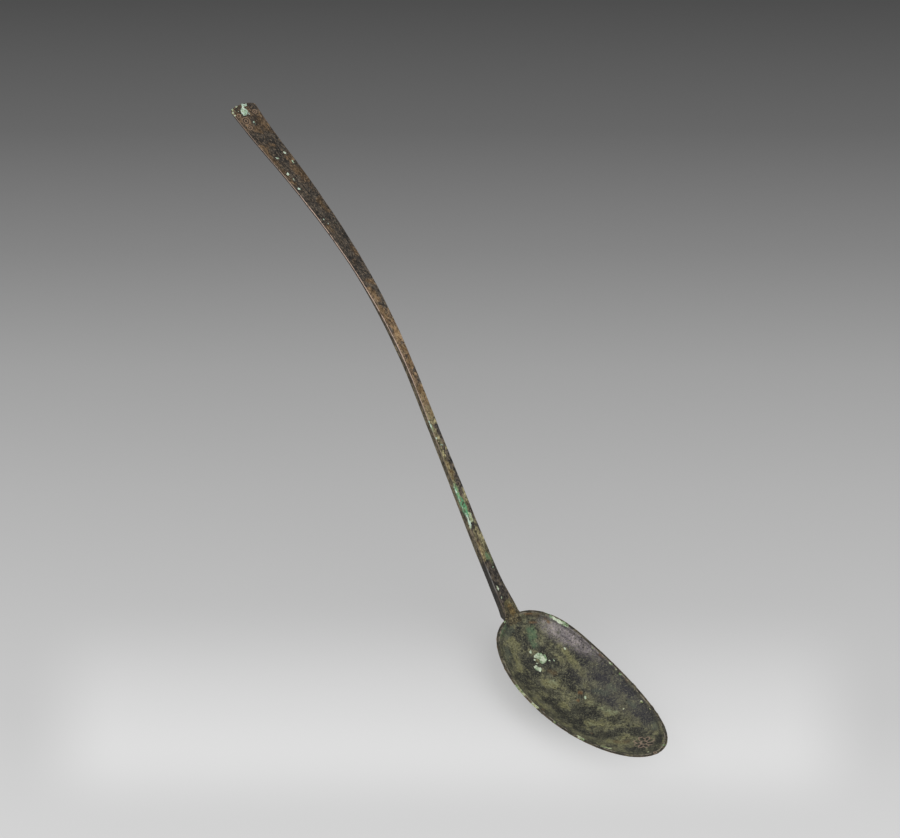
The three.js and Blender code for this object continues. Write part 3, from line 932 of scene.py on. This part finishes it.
def grain_tree(material):
    tree = bpy.data.node_groups.new("strewn_grains", "GeometryNodeTree")
    face = tree.interface
    face.new_socket("Crust", in_out="INPUT", socket_type="NodeSocketGeometry")
    amounts = [("Grain size", GRAIN_SIZE * MM), ("Grains per area", GRAINS_PER_SQUARE_MM / MM ** 2)]
    for label, value in amounts:
        socket = face.new_socket(label, in_out="INPUT", socket_type="NodeSocketFloat")
        socket.default_value = value
    seed = face.new_socket("Seed", in_out="INPUT", socket_type="NodeSocketInt")
    seed.default_value = GRAIN_SEED
    face.new_socket("Grains", in_out="OUTPUT", socket_type="NodeSocketGeometry")
    source = put(tree, "NodeGroupInput").outputs
    strewn = put(tree, "GeometryNodeDistributePointsOnFaces", {
        "Mesh": source["Crust"], "Density": source["Grains per area"], "Seed": source["Seed"]})
    grain = put(tree, "GeometryNodeMeshIcoSphere", {"Radius": 0.5, "Subdivisions": 2}).outputs["Mesh"]
    rough = put(tree, "ShaderNodeTexNoise", {"Scale": 1.7}).outputs[0]
    way = put(tree, "GeometryNodeInputNormal").outputs[0]
    push = vector_maths(tree, "SCALE", way, times(tree, rough, 0.5))
    lumpy = put(tree, "GeometryNodeSetPosition", {"Geometry": grain, "Offset": push})
    spread = {"Min": (0.4, 0.4, 0.3), "Max": (1.1, 1.1, 0.6)}
    sizes = put(tree, "FunctionNodeRandomValue", spread, data_type="FLOAT_VECTOR").outputs[0]
    scaled = vector_maths(tree, "SCALE", sizes, source["Grain size"])
    placed = put(tree, "GeometryNodeInstanceOnPoints", {
        "Points": strewn.outputs["Points"], "Instance": lumpy.outputs[0],
        "Rotation": strewn.outputs["Rotation"], "Scale": scaled})
    real = put(tree, "GeometryNodeRealizeInstances", {"Geometry": placed.outputs[0]})
    dressed = put(tree, "GeometryNodeSetMaterial", {"Geometry": real.outputs[0], "Material": material})
    put(tree, "NodeGroupOutput", {"Grains": dressed.outputs[0]})
    return tree


def make_grains(pieces, material):
    carrier = new_object("crust_carrier", crust_carrier(pieces))
    strew = carrier.modifiers.new("strewn_grains", "NODES")
    strew.node_group = grain_tree(material)
    evaluated = carrier.evaluated_get(bpy.context.evaluated_depsgraph_get())
    mesh = bpy.data.meshes.new_from_object(evaluated)
    bpy.data.objects.remove(carrier)
    piece = new_object("verdigris_grains", mesh)
    reshape(piece, coordinates(piece))
    return piece


# Nodes. A value may be a number or another node's output. A colour is red, green and blue from 0 to 255,
# as the eye reads it.
def put(tree, kind, values=None, **settings):
    made = tree.nodes.new(kind)
    for name, setting in settings.items():
        setattr(made, name, setting)
    for socket, value in (values or {}).items():
        if isinstance(value, bpy.types.NodeSocket):
            tree.links.new(value, made.inputs[socket])
        else:
            made.inputs[socket].default_value = value
    return made


def coloured(value):
    """A colour in linear light, as the nodes take it. Anything else stays as it is."""
    if not isinstance(value, tuple):
        return value
    linear = []
    for part in value:
        level = part / 255
        linear.append(level / 12.92 if level <= 0.04045 else ((level + 0.055) / 1.055) ** 2.4)
    return (*linear, 1.0)


def maths(tree, operation, first, second=0.0):
    return put(tree, "ShaderNodeMath", {0: first, 1: second}, operation=operation).outputs[0]


def vector_maths(tree, operation, first, second, result="Vector"):
    by = "Scale" if operation == "SCALE" else 1
    return put(tree, "ShaderNodeVectorMath", {0: first, by: second}, operation=operation).outputs[result]


def plus(tree, first, second):
    return maths(tree, "ADD", first, second)


def times(tree, product, *others):
    for other in others:
        product = maths(tree, "MULTIPLY", product, other)
    return product


def weighed(tree, total, *terms):
    """A sum. Each term is a value and its weight."""
    for value, weight in terms:
        total = plus(tree, total, times(tree, value, weight))
    return total


def blended(tree, amount, first, second, kind="MIX"):
    values = {0: amount, 6: coloured(first), 7: coloured(second)}
    return put(tree, "ShaderNodeMix", values, data_type="RGBA", blend_type=kind).outputs[2]


def layered(tree, colour, *layers):
    """The colour with tints laid over it, one after another. Each layer is a mask or the name of a painted
    one, its strength and the tint."""
    for mask, amount, tint in layers:
        mask = painted(tree, mask) if isinstance(mask, str) else mask
        colour = blended(tree, times(tree, mask, amount), colour, tint)
    return colour


def between(tree, value, low, high):
    """0 where the value is at low or past it, 1 at high, and soft between."""
    values = {"Value": value, "From Min": low, "From Max": high}
    return put(tree, "ShaderNodeMapRange", values, interpolation_type="SMOOTHSTEP").outputs[0]


def graded(tree, value, low, high, at_low=0.0, at_high=1.0):
    """Runs evenly from at_low, where the value is at low, to at_high."""
    values = {"Value": value, "From Min": low, "From Max": high, "To Min": at_low, "To Max": at_high}
    return put(tree, "ShaderNodeMapRange", values).outputs[0]


def speckle(tree, place, size, detail=3.0, seed=0.0, distortion=0.0, roughness=0.5):
    """Noise whose features are about size across, in metres."""
    scale = 1 / size if isinstance(size, float) else maths(tree, "DIVIDE", 1.0, size)
    values = {"Vector": place, "Scale": scale, "Detail": detail, "W": seed, "Distortion": distortion,
              "Roughness": roughness}
    return put(tree, "ShaderNodeTexNoise", values, noise_dimensions="4D").outputs[0]


def flecks(tree, place, size, seed, low, high, detail=3.0, roughness=0.5):
    """Spots of noise, 0 where it is at low and 1 at high."""
    return between(tree, speckle(tree, place, size, detail, seed, 0.0, roughness), low, high)


def stretched(tree, place, stretch, turn=0.0):
    values = {"Vector": place, "Rotation": (0, 0, turn), "Scale": stretch}
    return put(tree, "ShaderNodeMapping", values, vector_type="POINT").outputs[0]


def painted(tree, name):
    return put(tree, "ShaderNodeAttribute", attribute_name=name).outputs["Fac"]


def new_group(name, inputs, outputs):
    group = bpy.data.node_groups.new(name, "ShaderNodeTree")
    kinds = {"vector": "NodeSocketVector", "colour": "NodeSocketColor", "value": "NodeSocketFloat"}
    for way, sockets in (("INPUT", inputs), ("OUTPUT", outputs)):
        for label, kind in sockets:
            group.interface.new_socket(label, in_out=way, socket_type=kinds[kind])
    return group, put(group, "NodeGroupInput").outputs, put(group, "NodeGroupOutput").inputs


def fill(tree, group, values):
    """A group placed in the tree with its values, as its outputs."""
    values = {socket: coloured(value) for socket, value in values.items()}
    return put(tree, "ShaderNodeGroup", values, node_tree=group).outputs


def mottle_group():
    """Patina in three tones, in ragged clouds of a given size with a strong fine grain."""
    inputs = [("Place", "vector"), ("Patch size", "value"), ("Seed", "value"), ("Dark", "colour"),
              ("Body", "colour"), ("Light", "colour"), ("Balance", "value"), ("Grain", "value")]
    group, given, result = new_group("patina_mottle", inputs, [("Color", "colour"), ("Height", "value")])
    place, size, seed = given["Place"], given["Patch size"], given["Seed"]
    clouds = speckle(group, place, size, 8.0, seed, 0.5, 0.66)
    lighter = speckle(group, place, times(group, size, 0.3), 5.0, plus(group, seed, 3.0), 0.3)
    grain = speckle(group, place, 0.0006, 3.0, seed, 0.0, 0.75)
    specks = speckle(group, place, FINEST, 2.0, plus(group, seed, 7.0), 0.0, 0.6)
    level = plus(group, clouds, given["Balance"])
    light = weighed(group, level, (lighter, 0.5))
    colour = blended(group, between(group, level, 0.36, 0.57), given["Dark"], given["Body"])
    colour = layered(
        group, colour,
        (between(group, light, 0.7, 0.95), 1.0, given["Light"]),
        (between(group, specks, 0.54, 0.68), 0.6, given["Light"]),
        (between(group, specks, 0.46, 0.32), 0.6, given["Dark"]))
    swing = times(group, plus(group, grain, -0.49), given["Grain"], 5.0)
    shade = maths(group, "MAXIMUM", plus(group, swing, 1.0), 0.2)
    grey = put(group, "ShaderNodeCombineColor", {0: shade, 1: shade, 2: shade}).outputs[0]
    group.links.new(blended(group, 1.0, colour, grey, "MULTIPLY"), result["Color"])
    group.links.new(weighed(group, grain, (clouds, 0.4)), result["Height"])
    return group


def pit_group():
    """Small round corrosion pits, strewn unevenly."""
    inputs = [("Place", "vector"), ("Size", "value")]
    group, given, result = new_group("corrosion_pits", inputs, [("Mask", "value")])
    scale = maths(group, "DIVIDE", 1.0, given["Size"])
    cells = put(group, "ShaderNodeTexVoronoi", {"Vector": given["Place"], "Scale": scale})
    chance = put(group, "ShaderNodeSeparateColor", {0: cells.outputs["Color"]}).outputs[0]
    dot = between(group, cells.outputs["Distance"], 0.34, 0.16)
    kept = between(group, chance, 0.7, 0.85)
    group.links.new(times(group, dot, kept), result["Mask"])
    return group


def scratch_group():
    """Fine broken lines that run along X of the place it is given."""
    inputs = [("Place", "vector"), ("Spacing", "value"), ("Length", "value")]
    group, given, result = new_group("polish_lines", inputs, [("Mask", "value")])
    long_way = maths(group, "DIVIDE", 1.0, given["Length"])
    short_way = maths(group, "DIVIDE", 1.0, given["Spacing"])
    scale = put(group, "ShaderNodeCombineXYZ", {0: long_way, 1: short_way, 2: long_way}).outputs[0]
    place = vector_maths(group, "MULTIPLY", given["Place"], scale)
    lines = put(group, "ShaderNodeTexNoise", {"Vector": place, "Scale": 1.0, "Detail": 2.0}).outputs[0]
    kept = flecks(group, given["Place"], 0.004, 0.0, 0.42, 0.6, 2.0)
    group.links.new(times(group, between(group, lines, 0.5, 0.66), kept), result["Mask"])
    return group


def crust_group():
    """Pale green corrosion where the cover is high, broken at its edge, cracked and crumbly inside."""
    inputs = [("Place", "vector"), ("Cover", "value"), ("Pale", "colour"), ("Green", "colour"),
              ("Earth", "colour")]
    outputs = [("Color", "colour"), ("Mask", "value"), ("Height", "value")]
    group, given, result = new_group("green_crust", inputs, outputs)
    crumbs = speckle(group, given["Place"], FINEST, 4.0, 2.0, 0.0, 0.65)
    clouds = speckle(group, given["Place"], 0.0019, 3.0, 5.0)
    cells = put(group, "ShaderNodeTexVoronoi", {"Vector": given["Place"], "Scale": 1000.0},
                feature="DISTANCE_TO_EDGE").outputs["Distance"]
    cracks = times(group, between(group, cells, 0.13, 0.03), between(group, clouds, 0.42, 0.56))
    edge = weighed(group, given["Cover"], (plus(group, crumbs, -0.5), 0.8))
    colour = layered(
        group, given["Pale"],
        (between(group, clouds, 0.46, 0.6), 1.0, given["Green"]),
        (between(group, crumbs, 0.52, 0.66), 1.0, given["Green"]),
        (cracks, 0.75, given["Earth"]),
        (between(group, crumbs, 0.4, 0.3), 1.0, given["Earth"]))
    group.links.new(colour, result["Color"])
    group.links.new(between(group, edge, 0.4, 0.56), result["Mask"])
    group.links.new(weighed(group, crumbs, (cracks, -0.4)), result["Height"])
    return group


FINEST = 0.0005  # size of the finest specks and crumbs
PATINA_GLOSS = 0.25  # a dull mineral skin
BOWL_GRAIN = 0.85
HANDLE_GRAIN = 1.3
MOTTLE = mottle_group()
PITS = pit_group()
SCRATCHES = scratch_group()
CRUST = crust_group()

PALE_CRUST = (212, 222, 198)
GREEN_CRUST = (150, 178, 140)
EARTH_CRUST = (86, 90, 66)
# Patinas of the handle: seed of their clouds, and their dark, body and light tones
HANDLE_TONES = {
    "dark": (2.0, (38, 36, 36), (66, 62, 59), (108, 96, 82)),
    "charcoal": (2.0, (28, 26, 24), (47, 43, 39), (84, 76, 66)),
    "brown": (8.0, (70, 56, 43), (116, 95, 75), (162, 137, 106)),
    "umber": (8.0, (32, 27, 22), (62, 50, 39), (120, 98, 72)),
    "olive": (5.0, (62, 58, 44), (124, 118, 88), (180, 172, 130)),
    # side: tones of the handle's sides, painted lighter or darker than the top as the light falls on them
    "side": (14.0, (56, 51, 42), (94, 86, 70), (128, 116, 92)),
}


def mottled(tree, place, size, seed, dark, body, light, balance=0.0, grain=BOWL_GRAIN):
    return fill(tree, MOTTLE, {
        "Place": place, "Patch size": size, "Seed": seed, "Dark": dark, "Body": body, "Light": light,
        "Balance": balance, "Grain": grain})


def fine_lines(tree, place, spacing, length, turn=0):
    """Fine broken lines, turned from X by some degrees."""
    turned = stretched(tree, place, (1, 1, 1), math.radians(turn)) if turn else place
    return fill(tree, SCRATCHES, {"Place": turned, "Spacing": spacing, "Length": length})["Mask"]


def pit_dots(tree, place, size):
    return fill(tree, PITS, {"Place": place, "Size": size})["Mask"]


def crusted(tree, place, cover, pale=PALE_CRUST, green=GREEN_CRUST, earth=EARTH_CRUST):
    return fill(tree, CRUST, {"Place": place, "Cover": cover, "Pale": pale, "Green": green, "Earth": earth})


def mossed(tree, crust):
    """Crust colour, yellow-green and darker where it is mossy."""
    return blended(tree, painted(tree, "moss"), crust, (206, 190, 152), "MULTIPLY")


def new_material(name):
    material = bpy.data.materials.new(name)
    material.use_nodes = True
    tree = material.node_tree
    tree.nodes.clear()
    place = put(tree, "ShaderNodeTexCoord").outputs["Object"]
    return material, tree, place


def finish_surface(tree, colour, roughness, metallic, height, depth):
    bump = put(tree, "ShaderNodeBump", {"Height": height, "Strength": 1.0, "Distance": depth})
    surface = put(tree, "ShaderNodeBsdfPrincipled", {
        "Base Color": colour, "Roughness": roughness, "Metallic": metallic, "Normal": bump.outputs[0],
        "Specular IOR Level": PATINA_GLOSS})
    put(tree, "ShaderNodeOutputMaterial", {"Surface": surface.outputs[0]})


def bowl_bronze():
    material, tree, place = new_material("bowl_bronze")
    tone = painted(tree, "tone")
    sheen = painted(tree, "sheen")
    balance = times(tree, tone, 0.16)
    skin = mottled(tree, place, 0.005, 1.0, (36, 36, 33), (76, 75, 62), (124, 122, 90), balance)
    # pinkish grey tones of the painted sheen
    grey = mottled(tree, place, 0.006, 6.0, (90, 86, 91), (132, 125, 129), (168, 158, 158), 0.04)
    lip_skin = mottled(tree, place, 0.0022, 12.0, (36, 35, 33), (62, 59, 50), (106, 100, 78), -0.02)
    streaks = fine_lines(tree, place, 0.0003, 0.006, -8)
    slant = fine_lines(tree, place, 0.00028, 0.0035, 38)
    cross = fine_lines(tree, place, 0.00032, 0.003, -57)
    fine = times(tree, maths(tree, "MAXIMUM", slant, cross), painted(tree, "inside"))
    broken = flecks(tree, place, 0.0007, 11.0, 0.4, 0.6, 4.0, 0.7)
    specks = speckle(tree, place, FINEST, 2.0, 41.0, 0.0, 0.6)
    rubbed = flecks(tree, place, 0.0022, 3.0, 0.42, 0.56, 4.0)
    pits = pit_dots(tree, place, 0.0013)
    colour = layered(
        tree, skin["Color"],
        (tone, 0.22, (104, 102, 50)),
        (times(tree, tone, -1.0), 0.22, (54, 54, 53)),
        # painted shade on the far wall
        ("dusk", 0.58, (59, 57, 65)),
        # painted sheen on the far wall by the heel, with pale polish streaks that show only within it
        (sheen, 0.9, grey["Color"]),
        (times(tree, streaks, sheen), 0.5, (160, 150, 146)),
        (fine, 0.4, (136, 136, 112)),
        ("haze", 0.45, (88, 96, 82)),
        (times(tree, painted(tree, "pale"), broken), 0.75, (150, 156, 122)),
        ("stain", 0.6, (92, 122, 90)),
        ("brown", 0.55, (98, 80, 52)),
        ("red", 0.75, (118, 88, 58)),
        (between(tree, specks, 0.56, 0.68), 0.35, (140, 138, 112)),
        (between(tree, specks, 0.44, 0.33), 0.6, (22, 23, 21)),
        (flecks(tree, place, FINEST, 17.0, 0.62, 0.7, 2.0), 0.6, (158, 154, 122)),
        (flecks(tree, place, 0.0009, 23.0, 0.36, 0.3), 0.6, (30, 30, 28)),
        # painted shadow line inside the rim's bead
        ("groove", 0.5, (34, 34, 31)),
        ("lip", 0.85, lip_skin["Color"]),
        (times(tree, painted(tree, "bead"), rubbed), 0.75, (162, 152, 134)),
        (times(tree, painted(tree, "brink"), rubbed), 0.6, (122, 96, 68)),
        (maths(tree, "MAXIMUM", pits, painted(tree, "black")), 0.75, (26, 25, 23)),
        ("hollow", 0.6, (44, 42, 36)),
        ("lines", 0.8, (160, 138, 120)))
    crust = crusted(tree, place, painted(tree, "crust"))
    colour = blended(tree, crust["Mask"], colour, mossed(tree, crust["Color"]))
    metallic = weighed(tree, 0.3, (crust["Mask"], -0.3))
    rough = weighed(tree, 0.36, (skin["Height"], 0.22), (sheen, -0.12), (crust["Mask"], 0.4))
    height = weighed(tree, skin["Height"], (crust["Height"], crust["Mask"]), (pits, -0.9), (fine, -0.2))
    finish_surface(tree, colour, rough, metallic, height, 0.00006)
    return material


def handle_bronze():
    material, tree, place = new_material("handle_bronze")
    along = painted(tree, "along")
    flat = put(tree, "ShaderNodeCombineXYZ", {0: along, 1: painted(tree, "girth"), 2: 0.0}).outputs[0]
    grain_way = stretched(tree, flat, (0.6, 1, 1))
    drawn_out = stretched(tree, flat, (0.55, 1, 1))
    blade = between(tree, along, 0.100, 0.128)
    neck = between(tree, along, 0.022, 0.018)
    tones = {}
    for name, (seed, *shades) in HANDLE_TONES.items():
        tones[name] = mottled(tree, grain_way, 0.0022, seed, *shades, grain=HANDLE_GRAIN)
    olive = layered(tree, tones["olive"]["Color"], (neck, 0.55, (72, 65, 40)))
    warm = blended(tree, between(tree, along, 0.085, 0.06), tones["brown"]["Color"], olive)
    warm = blended(tree, blade, warm, tones["umber"]["Color"])
    sooty = maths(tree, "MAXIMUM", blade, times(tree, between(tree, along, 0.024, 0.018), 0.35))
    deep = blended(tree, sooty, tones["dark"]["Color"], tones["charcoal"]["Color"])
    # Painted light and shade on the handle's sides: their own tones, darkened on the blade and darker still
    # at the neck.
    painted_flank_shading = layered(
        tree, tones["side"]["Color"],
        (blade, 0.8, (50, 43, 38)),
        (between(tree, along, 0.022, 0.017), 0.85, (40, 40, 41)))
    gold = blended(tree, neck, (144, 112, 68), (92, 82, 50))
    specks = speckle(tree, drawn_out, FINEST, 2.0, 41.0, 0.0, 0.6)
    speck_light = blended(tree, blade, (168, 156, 122), (156, 136, 112))
    speck_light = blended(tree, neck, speck_light, (96, 90, 62))
    striations = fine_lines(tree, flat, 0.00035, 0.008)
    threads = flecks(tree, drawn_out, 0.0008, 19.0, 0.36, 0.52, 3.0, 0.6)
    # Worn edge: paler bare metal along the upper edges, with a painted highlight, strongest on the near side.
    edge = painted(tree, "edge")
    bright = graded(tree, along, 0.055, 0.085, 0.15, 1.0)
    fading = graded(tree, along, 0.15, 0.17, 1.0, 0.5)
    worn = times(tree, edge, bright, flecks(tree, flat, 0.003, 4.0, 0.3, 0.46, 4.0), fading)
    # Painted highlight: a grey line along the neck's upper edge.
    painted_neck_highlight = times(tree, between(tree, along, 0.007, 0.010), between(tree, along, 0.019, 0.016), edge)
    tan = times(tree, flecks(tree, place, 0.0008, 29.0, 0.64, 0.72), weighed(tree, 1.0, (neck, -1.0)))
    pits = pit_dots(tree, place, 0.0012)
    colour = layered(
        tree, blended(tree, between(tree, painted(tree, "warm"), 0.34, 0.66), deep, warm),
        ("golden", graded(tree, blade, 0.0, 1.0, 0.42, 0.15), gold),
        (between(tree, specks, 0.54, 0.66), 0.5, speck_light),
        (between(tree, specks, 0.45, 0.34), 0.65, (28, 25, 22)),
        (striations, 0.35, (138, 120, 98)),
        (fine_lines(tree, flat, 0.0003, 0.006, 1), 0.5, (28, 25, 22)),
        # painted light and shade on the sides
        ("side", 0.9, painted_flank_shading),
        (times(tree, painted(tree, "stain"), threads), 0.85, (98, 176, 128)),
        # worn edge with its painted highlight
        (worn, 0.95, (206, 182, 166)),
        # painted highlight on the neck
        (painted_neck_highlight, 0.6, (140, 141, 140)),
        (flecks(tree, place, 0.0009, 23.0, 0.38, 0.31), 0.6, (30, 28, 27)),
        (tan, 0.4, (150, 124, 94)),
        (pits, 0.65, (28, 26, 25)),
        ("hollow", 0.55, (42, 38, 34)),
        ("lines", 0.85, (146, 122, 100)))
    crust = crusted(tree, place, painted(tree, "crust"), (218, 240, 226), (186, 218, 196))
    colour = layered(tree, colour, (crust["Mask"], 0.92, mossed(tree, crust["Color"])))
    metallic = times(tree, weighed(tree, 1.0, (crust["Mask"], -1.0)), weighed(tree, 0.3, (worn, 0.3)))
    skin = tones["dark"]["Height"]
    rough = weighed(tree, 0.36, (skin, 0.24), (crust["Mask"], 0.4))
    height = weighed(tree, skin, (crust["Height"], crust["Mask"]), (pits, -0.9), (striations, -0.2))
    finish_surface(tree, colour, rough, metallic, height, 0.00006)
    return material


def solder_metal():
    material, tree, place = new_material("solder_metal")
    skin = mottled(tree, place, 0.0018, 3.0, (44, 41, 34), (74, 68, 50), (124, 114, 86))
    gold = mottled(tree, place, 0.0014, 9.0, (62, 52, 34), (100, 84, 54), (130, 112, 72), 0.03)
    pits = pit_dots(tree, place, 0.001)
    colour = layered(tree, skin["Color"], ("golden", 1.0, gold["Color"]), (pits, 0.5, (34, 31, 24)))
    rough = weighed(tree, 0.45, (skin["Height"], 0.2))
    finish_surface(tree, colour, rough, 0.25, weighed(tree, skin["Height"], (pits, -1.0)), 0.00008)
    return material


def verdigris():
    material, tree, place = new_material("verdigris")
    crust = crusted(tree, place, 1.0, earth=(150, 150, 116))
    finish_surface(tree, crust["Color"], 0.85, 0.0, crust["Height"], 0.00005)
    return material


# Stage. The backdrop's greys run from pale in front of the spoon to dark behind it.
CAMERA_AIM = Vector((-85.4, 11.1, 54.5)) * MM
CAMERA_DISTANCE = 1.23
CAMERA_AZIMUTH = math.radians(41.35)
CAMERA_ELEVATION = math.radians(43.02)
CAMERA_ROLL = math.radians(10.92)
CAMERA_LENS = 148.9
HALF_VIEW = 18 / CAMERA_LENS  # half the picture's width at one metre
PAPER_GLOW = 0.5  # share of the paper's grey that no shadow dims
FRONT_GLOW = 0.88  # the same in front of the spoon
POOL_HALF_WIDTH = 0.85  # pool of light on the paper, in halves of the picture
POOL_EDGE = 0.12
POOL_START, POOL_MIDDLE, POOL_END = 0.71, 0.89, 0.99  # from the picture's top to its bottom
POOL_STRENGTH = 0.65
POOL_GREY = (232, 232, 232)
FRONT_START, FRONT_END = 0.85, 0.92  # where the paper's glow turns into the one in front
NEAREST = 0.2  # metres before the camera
FLOOR_DROP = 0.05  # the paper lies this far below the bowl's flat
FLOOR_SIZE = 6.0  # metres
BACKDROP_GREYS = [(0.0, 80), (0.155, 105), (0.3, 135), (0.44, 163), (0.585, 181), (0.8, 200), (1.0, 212)]


def camera_axes():
    """The camera's right, up and back ways."""
    level = math.cos(CAMERA_ELEVATION)
    back = Vector((
        math.sin(CAMERA_AZIMUTH) * level, -math.cos(CAMERA_AZIMUTH) * level, math.sin(CAMERA_ELEVATION)))
    level_right = Vector((0, 0, 1)).cross(back).normalized()
    level_up = back.cross(level_right)
    right = level_right * math.cos(CAMERA_ROLL) + level_up * math.sin(CAMERA_ROLL)
    return right, back.cross(right), back


def make_camera():
    right, up, back = camera_axes()
    data = bpy.data.cameras.new("camera")
    data.lens = CAMERA_LENS
    data.sensor_width = 36
    camera = new_object("camera", data)
    turned = Matrix((right, up, back)).transposed().to_4x4()
    camera.matrix_world = Matrix.Translation(CAMERA_AIM + back * CAMERA_DISTANCE) @ turned
    bpy.context.scene.camera = camera


def floor_paper():
    """Grey paper, graded along the floor away from the spoon's front, and see-through from below."""
    material, tree, place = new_material("floor_paper")
    right, up, back = camera_axes()
    eye = CAMERA_AIM + back * CAMERA_DISTANCE
    from_eye = vector_maths(tree, "SUBTRACT", place, eye)
    ways = [vector_maths(tree, "DOT_PRODUCT", from_eye, way, "Value") for way in (right, up, -back)]
    across, rise, away = ways
    away = maths(tree, "MAXIMUM", away, NEAREST)
    half_height = HALF_VIEW * 838 / 900
    share = graded(tree, maths(tree, "DIVIDE", rise, away), half_height, -half_height)
    ramp = put(tree, "ShaderNodeValToRGB", {0: share})
    greys = ramp.color_ramp.elements
    while len(greys) < len(BACKDROP_GREYS):
        greys.new(0.5)
    for stop, (position, grey) in zip(greys, BACKDROP_GREYS):
        stop.position = position
        stop.color = coloured((grey, grey, grey))
    column = maths(tree, "ABSOLUTE", maths(tree, "DIVIDE", maths(tree, "DIVIDE", across, away), HALF_VIEW))
    pool = times(
        tree, between(tree, share, POOL_START, POOL_MIDDLE), between(tree, share, POOL_END, POOL_MIDDLE),
        between(tree, column, POOL_HALF_WIDTH + POOL_EDGE, POOL_HALF_WIDTH - POOL_EDGE))
    grey = layered(tree, ramp.outputs[0], (pool, POOL_STRENGTH, POOL_GREY))
    paper = put(tree, "ShaderNodeBsdfDiffuse", {"Color": grey}).outputs[0]
    glow = put(tree, "ShaderNodeEmission", {"Color": grey, "Strength": 1.0}).outputs[0]
    sight = put(tree, "ShaderNodeLightPath").outputs
    seen = maths(tree, "MAXIMUM", sight["Is Camera Ray"], sight["Is Glossy Ray"])
    seen = maths(tree, "MAXIMUM", seen, sight["Is Transmission Ray"])
    undimmed = graded(tree, share, FRONT_START, FRONT_END, PAPER_GLOW, FRONT_GLOW)
    surface = put(tree, "ShaderNodeMixShader", {0: times(tree, seen, undimmed), 1: paper, 2: glow})
    clear = put(tree, "ShaderNodeBsdfTransparent")
    from_below = put(tree, "ShaderNodeNewGeometry").outputs["Backfacing"]
    shown = put(tree, "ShaderNodeMixShader", {0: from_below, 1: surface.outputs[0], 2: clear.outputs[0]})
    put(tree, "ShaderNodeOutputMaterial", {"Surface": shown.outputs[0]})
    return material


def make_floor():
    half = FLOOR_SIZE / 2
    mesh = bpy.data.meshes.new("floor")
    corners = [(-half, -half, 0), (half, -half, 0), (half, half, 0), (-half, half, 0)]
    mesh.from_pydata(corners, [], [(0, 1, 2, 3)])
    mesh.transform(Matrix.Translation((0, 0, cad_low.z - FLOOR_DROP * MM)))
    mesh.materials.append(floor_paper())
    new_object("floor", mesh)


def soft_lamp(name, place, aim, size, power):
    data = bpy.data.lights.new(name, "AREA")
    data.shape = "SQUARE"
    data.size = size
    data.energy = power
    lamp = new_object(name, data)
    lamp.location = place
    lamp.rotation_euler = (Vector(place) - Vector(aim)).to_track_quat("Z", "Y").to_euler()


def light_stage():
    world = bpy.data.worlds.new("studio")
    bpy.context.scene.world = world
    world.use_nodes = True
    backdrop = world.node_tree.nodes["Background"].inputs
    backdrop["Color"].default_value = (0.6, 0.6, 0.6, 1)
    backdrop["Strength"].default_value = 1.0
    middle = (-0.06, 0, 0.03)
    soft_lamp("softbox", (0.35, 0.45, 1.25), middle, 1.4, 5.0)
    soft_lamp("left_card", (-0.75, -0.5, 0.9), middle, 0.5, 2.0)
    soft_lamp("front_card", (0.1, -0.95, 0.3), middle, 0.6, 2.0)


def dress(piece, material, nodes=()):
    piece.data.materials.clear()
    piece.data.materials.append(material)
    piece.data.shade_smooth()
    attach(piece, "root")
    if nodes:
        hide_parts(*nodes)


bpy.context.scene.view_settings.view_transform = "Standard"
make_camera()
make_floor()
light_stage()

bowl = make_bowl()
handle = make_handle()
solder = make_solder()
green = verdigris()
grains = make_grains([bowl, handle], green)
dress(bowl, bowl_bronze(), ["bowl"])
dress(handle, handle_bronze(), ["handle"])
dress(solder, solder_metal())
dress(grains, green)
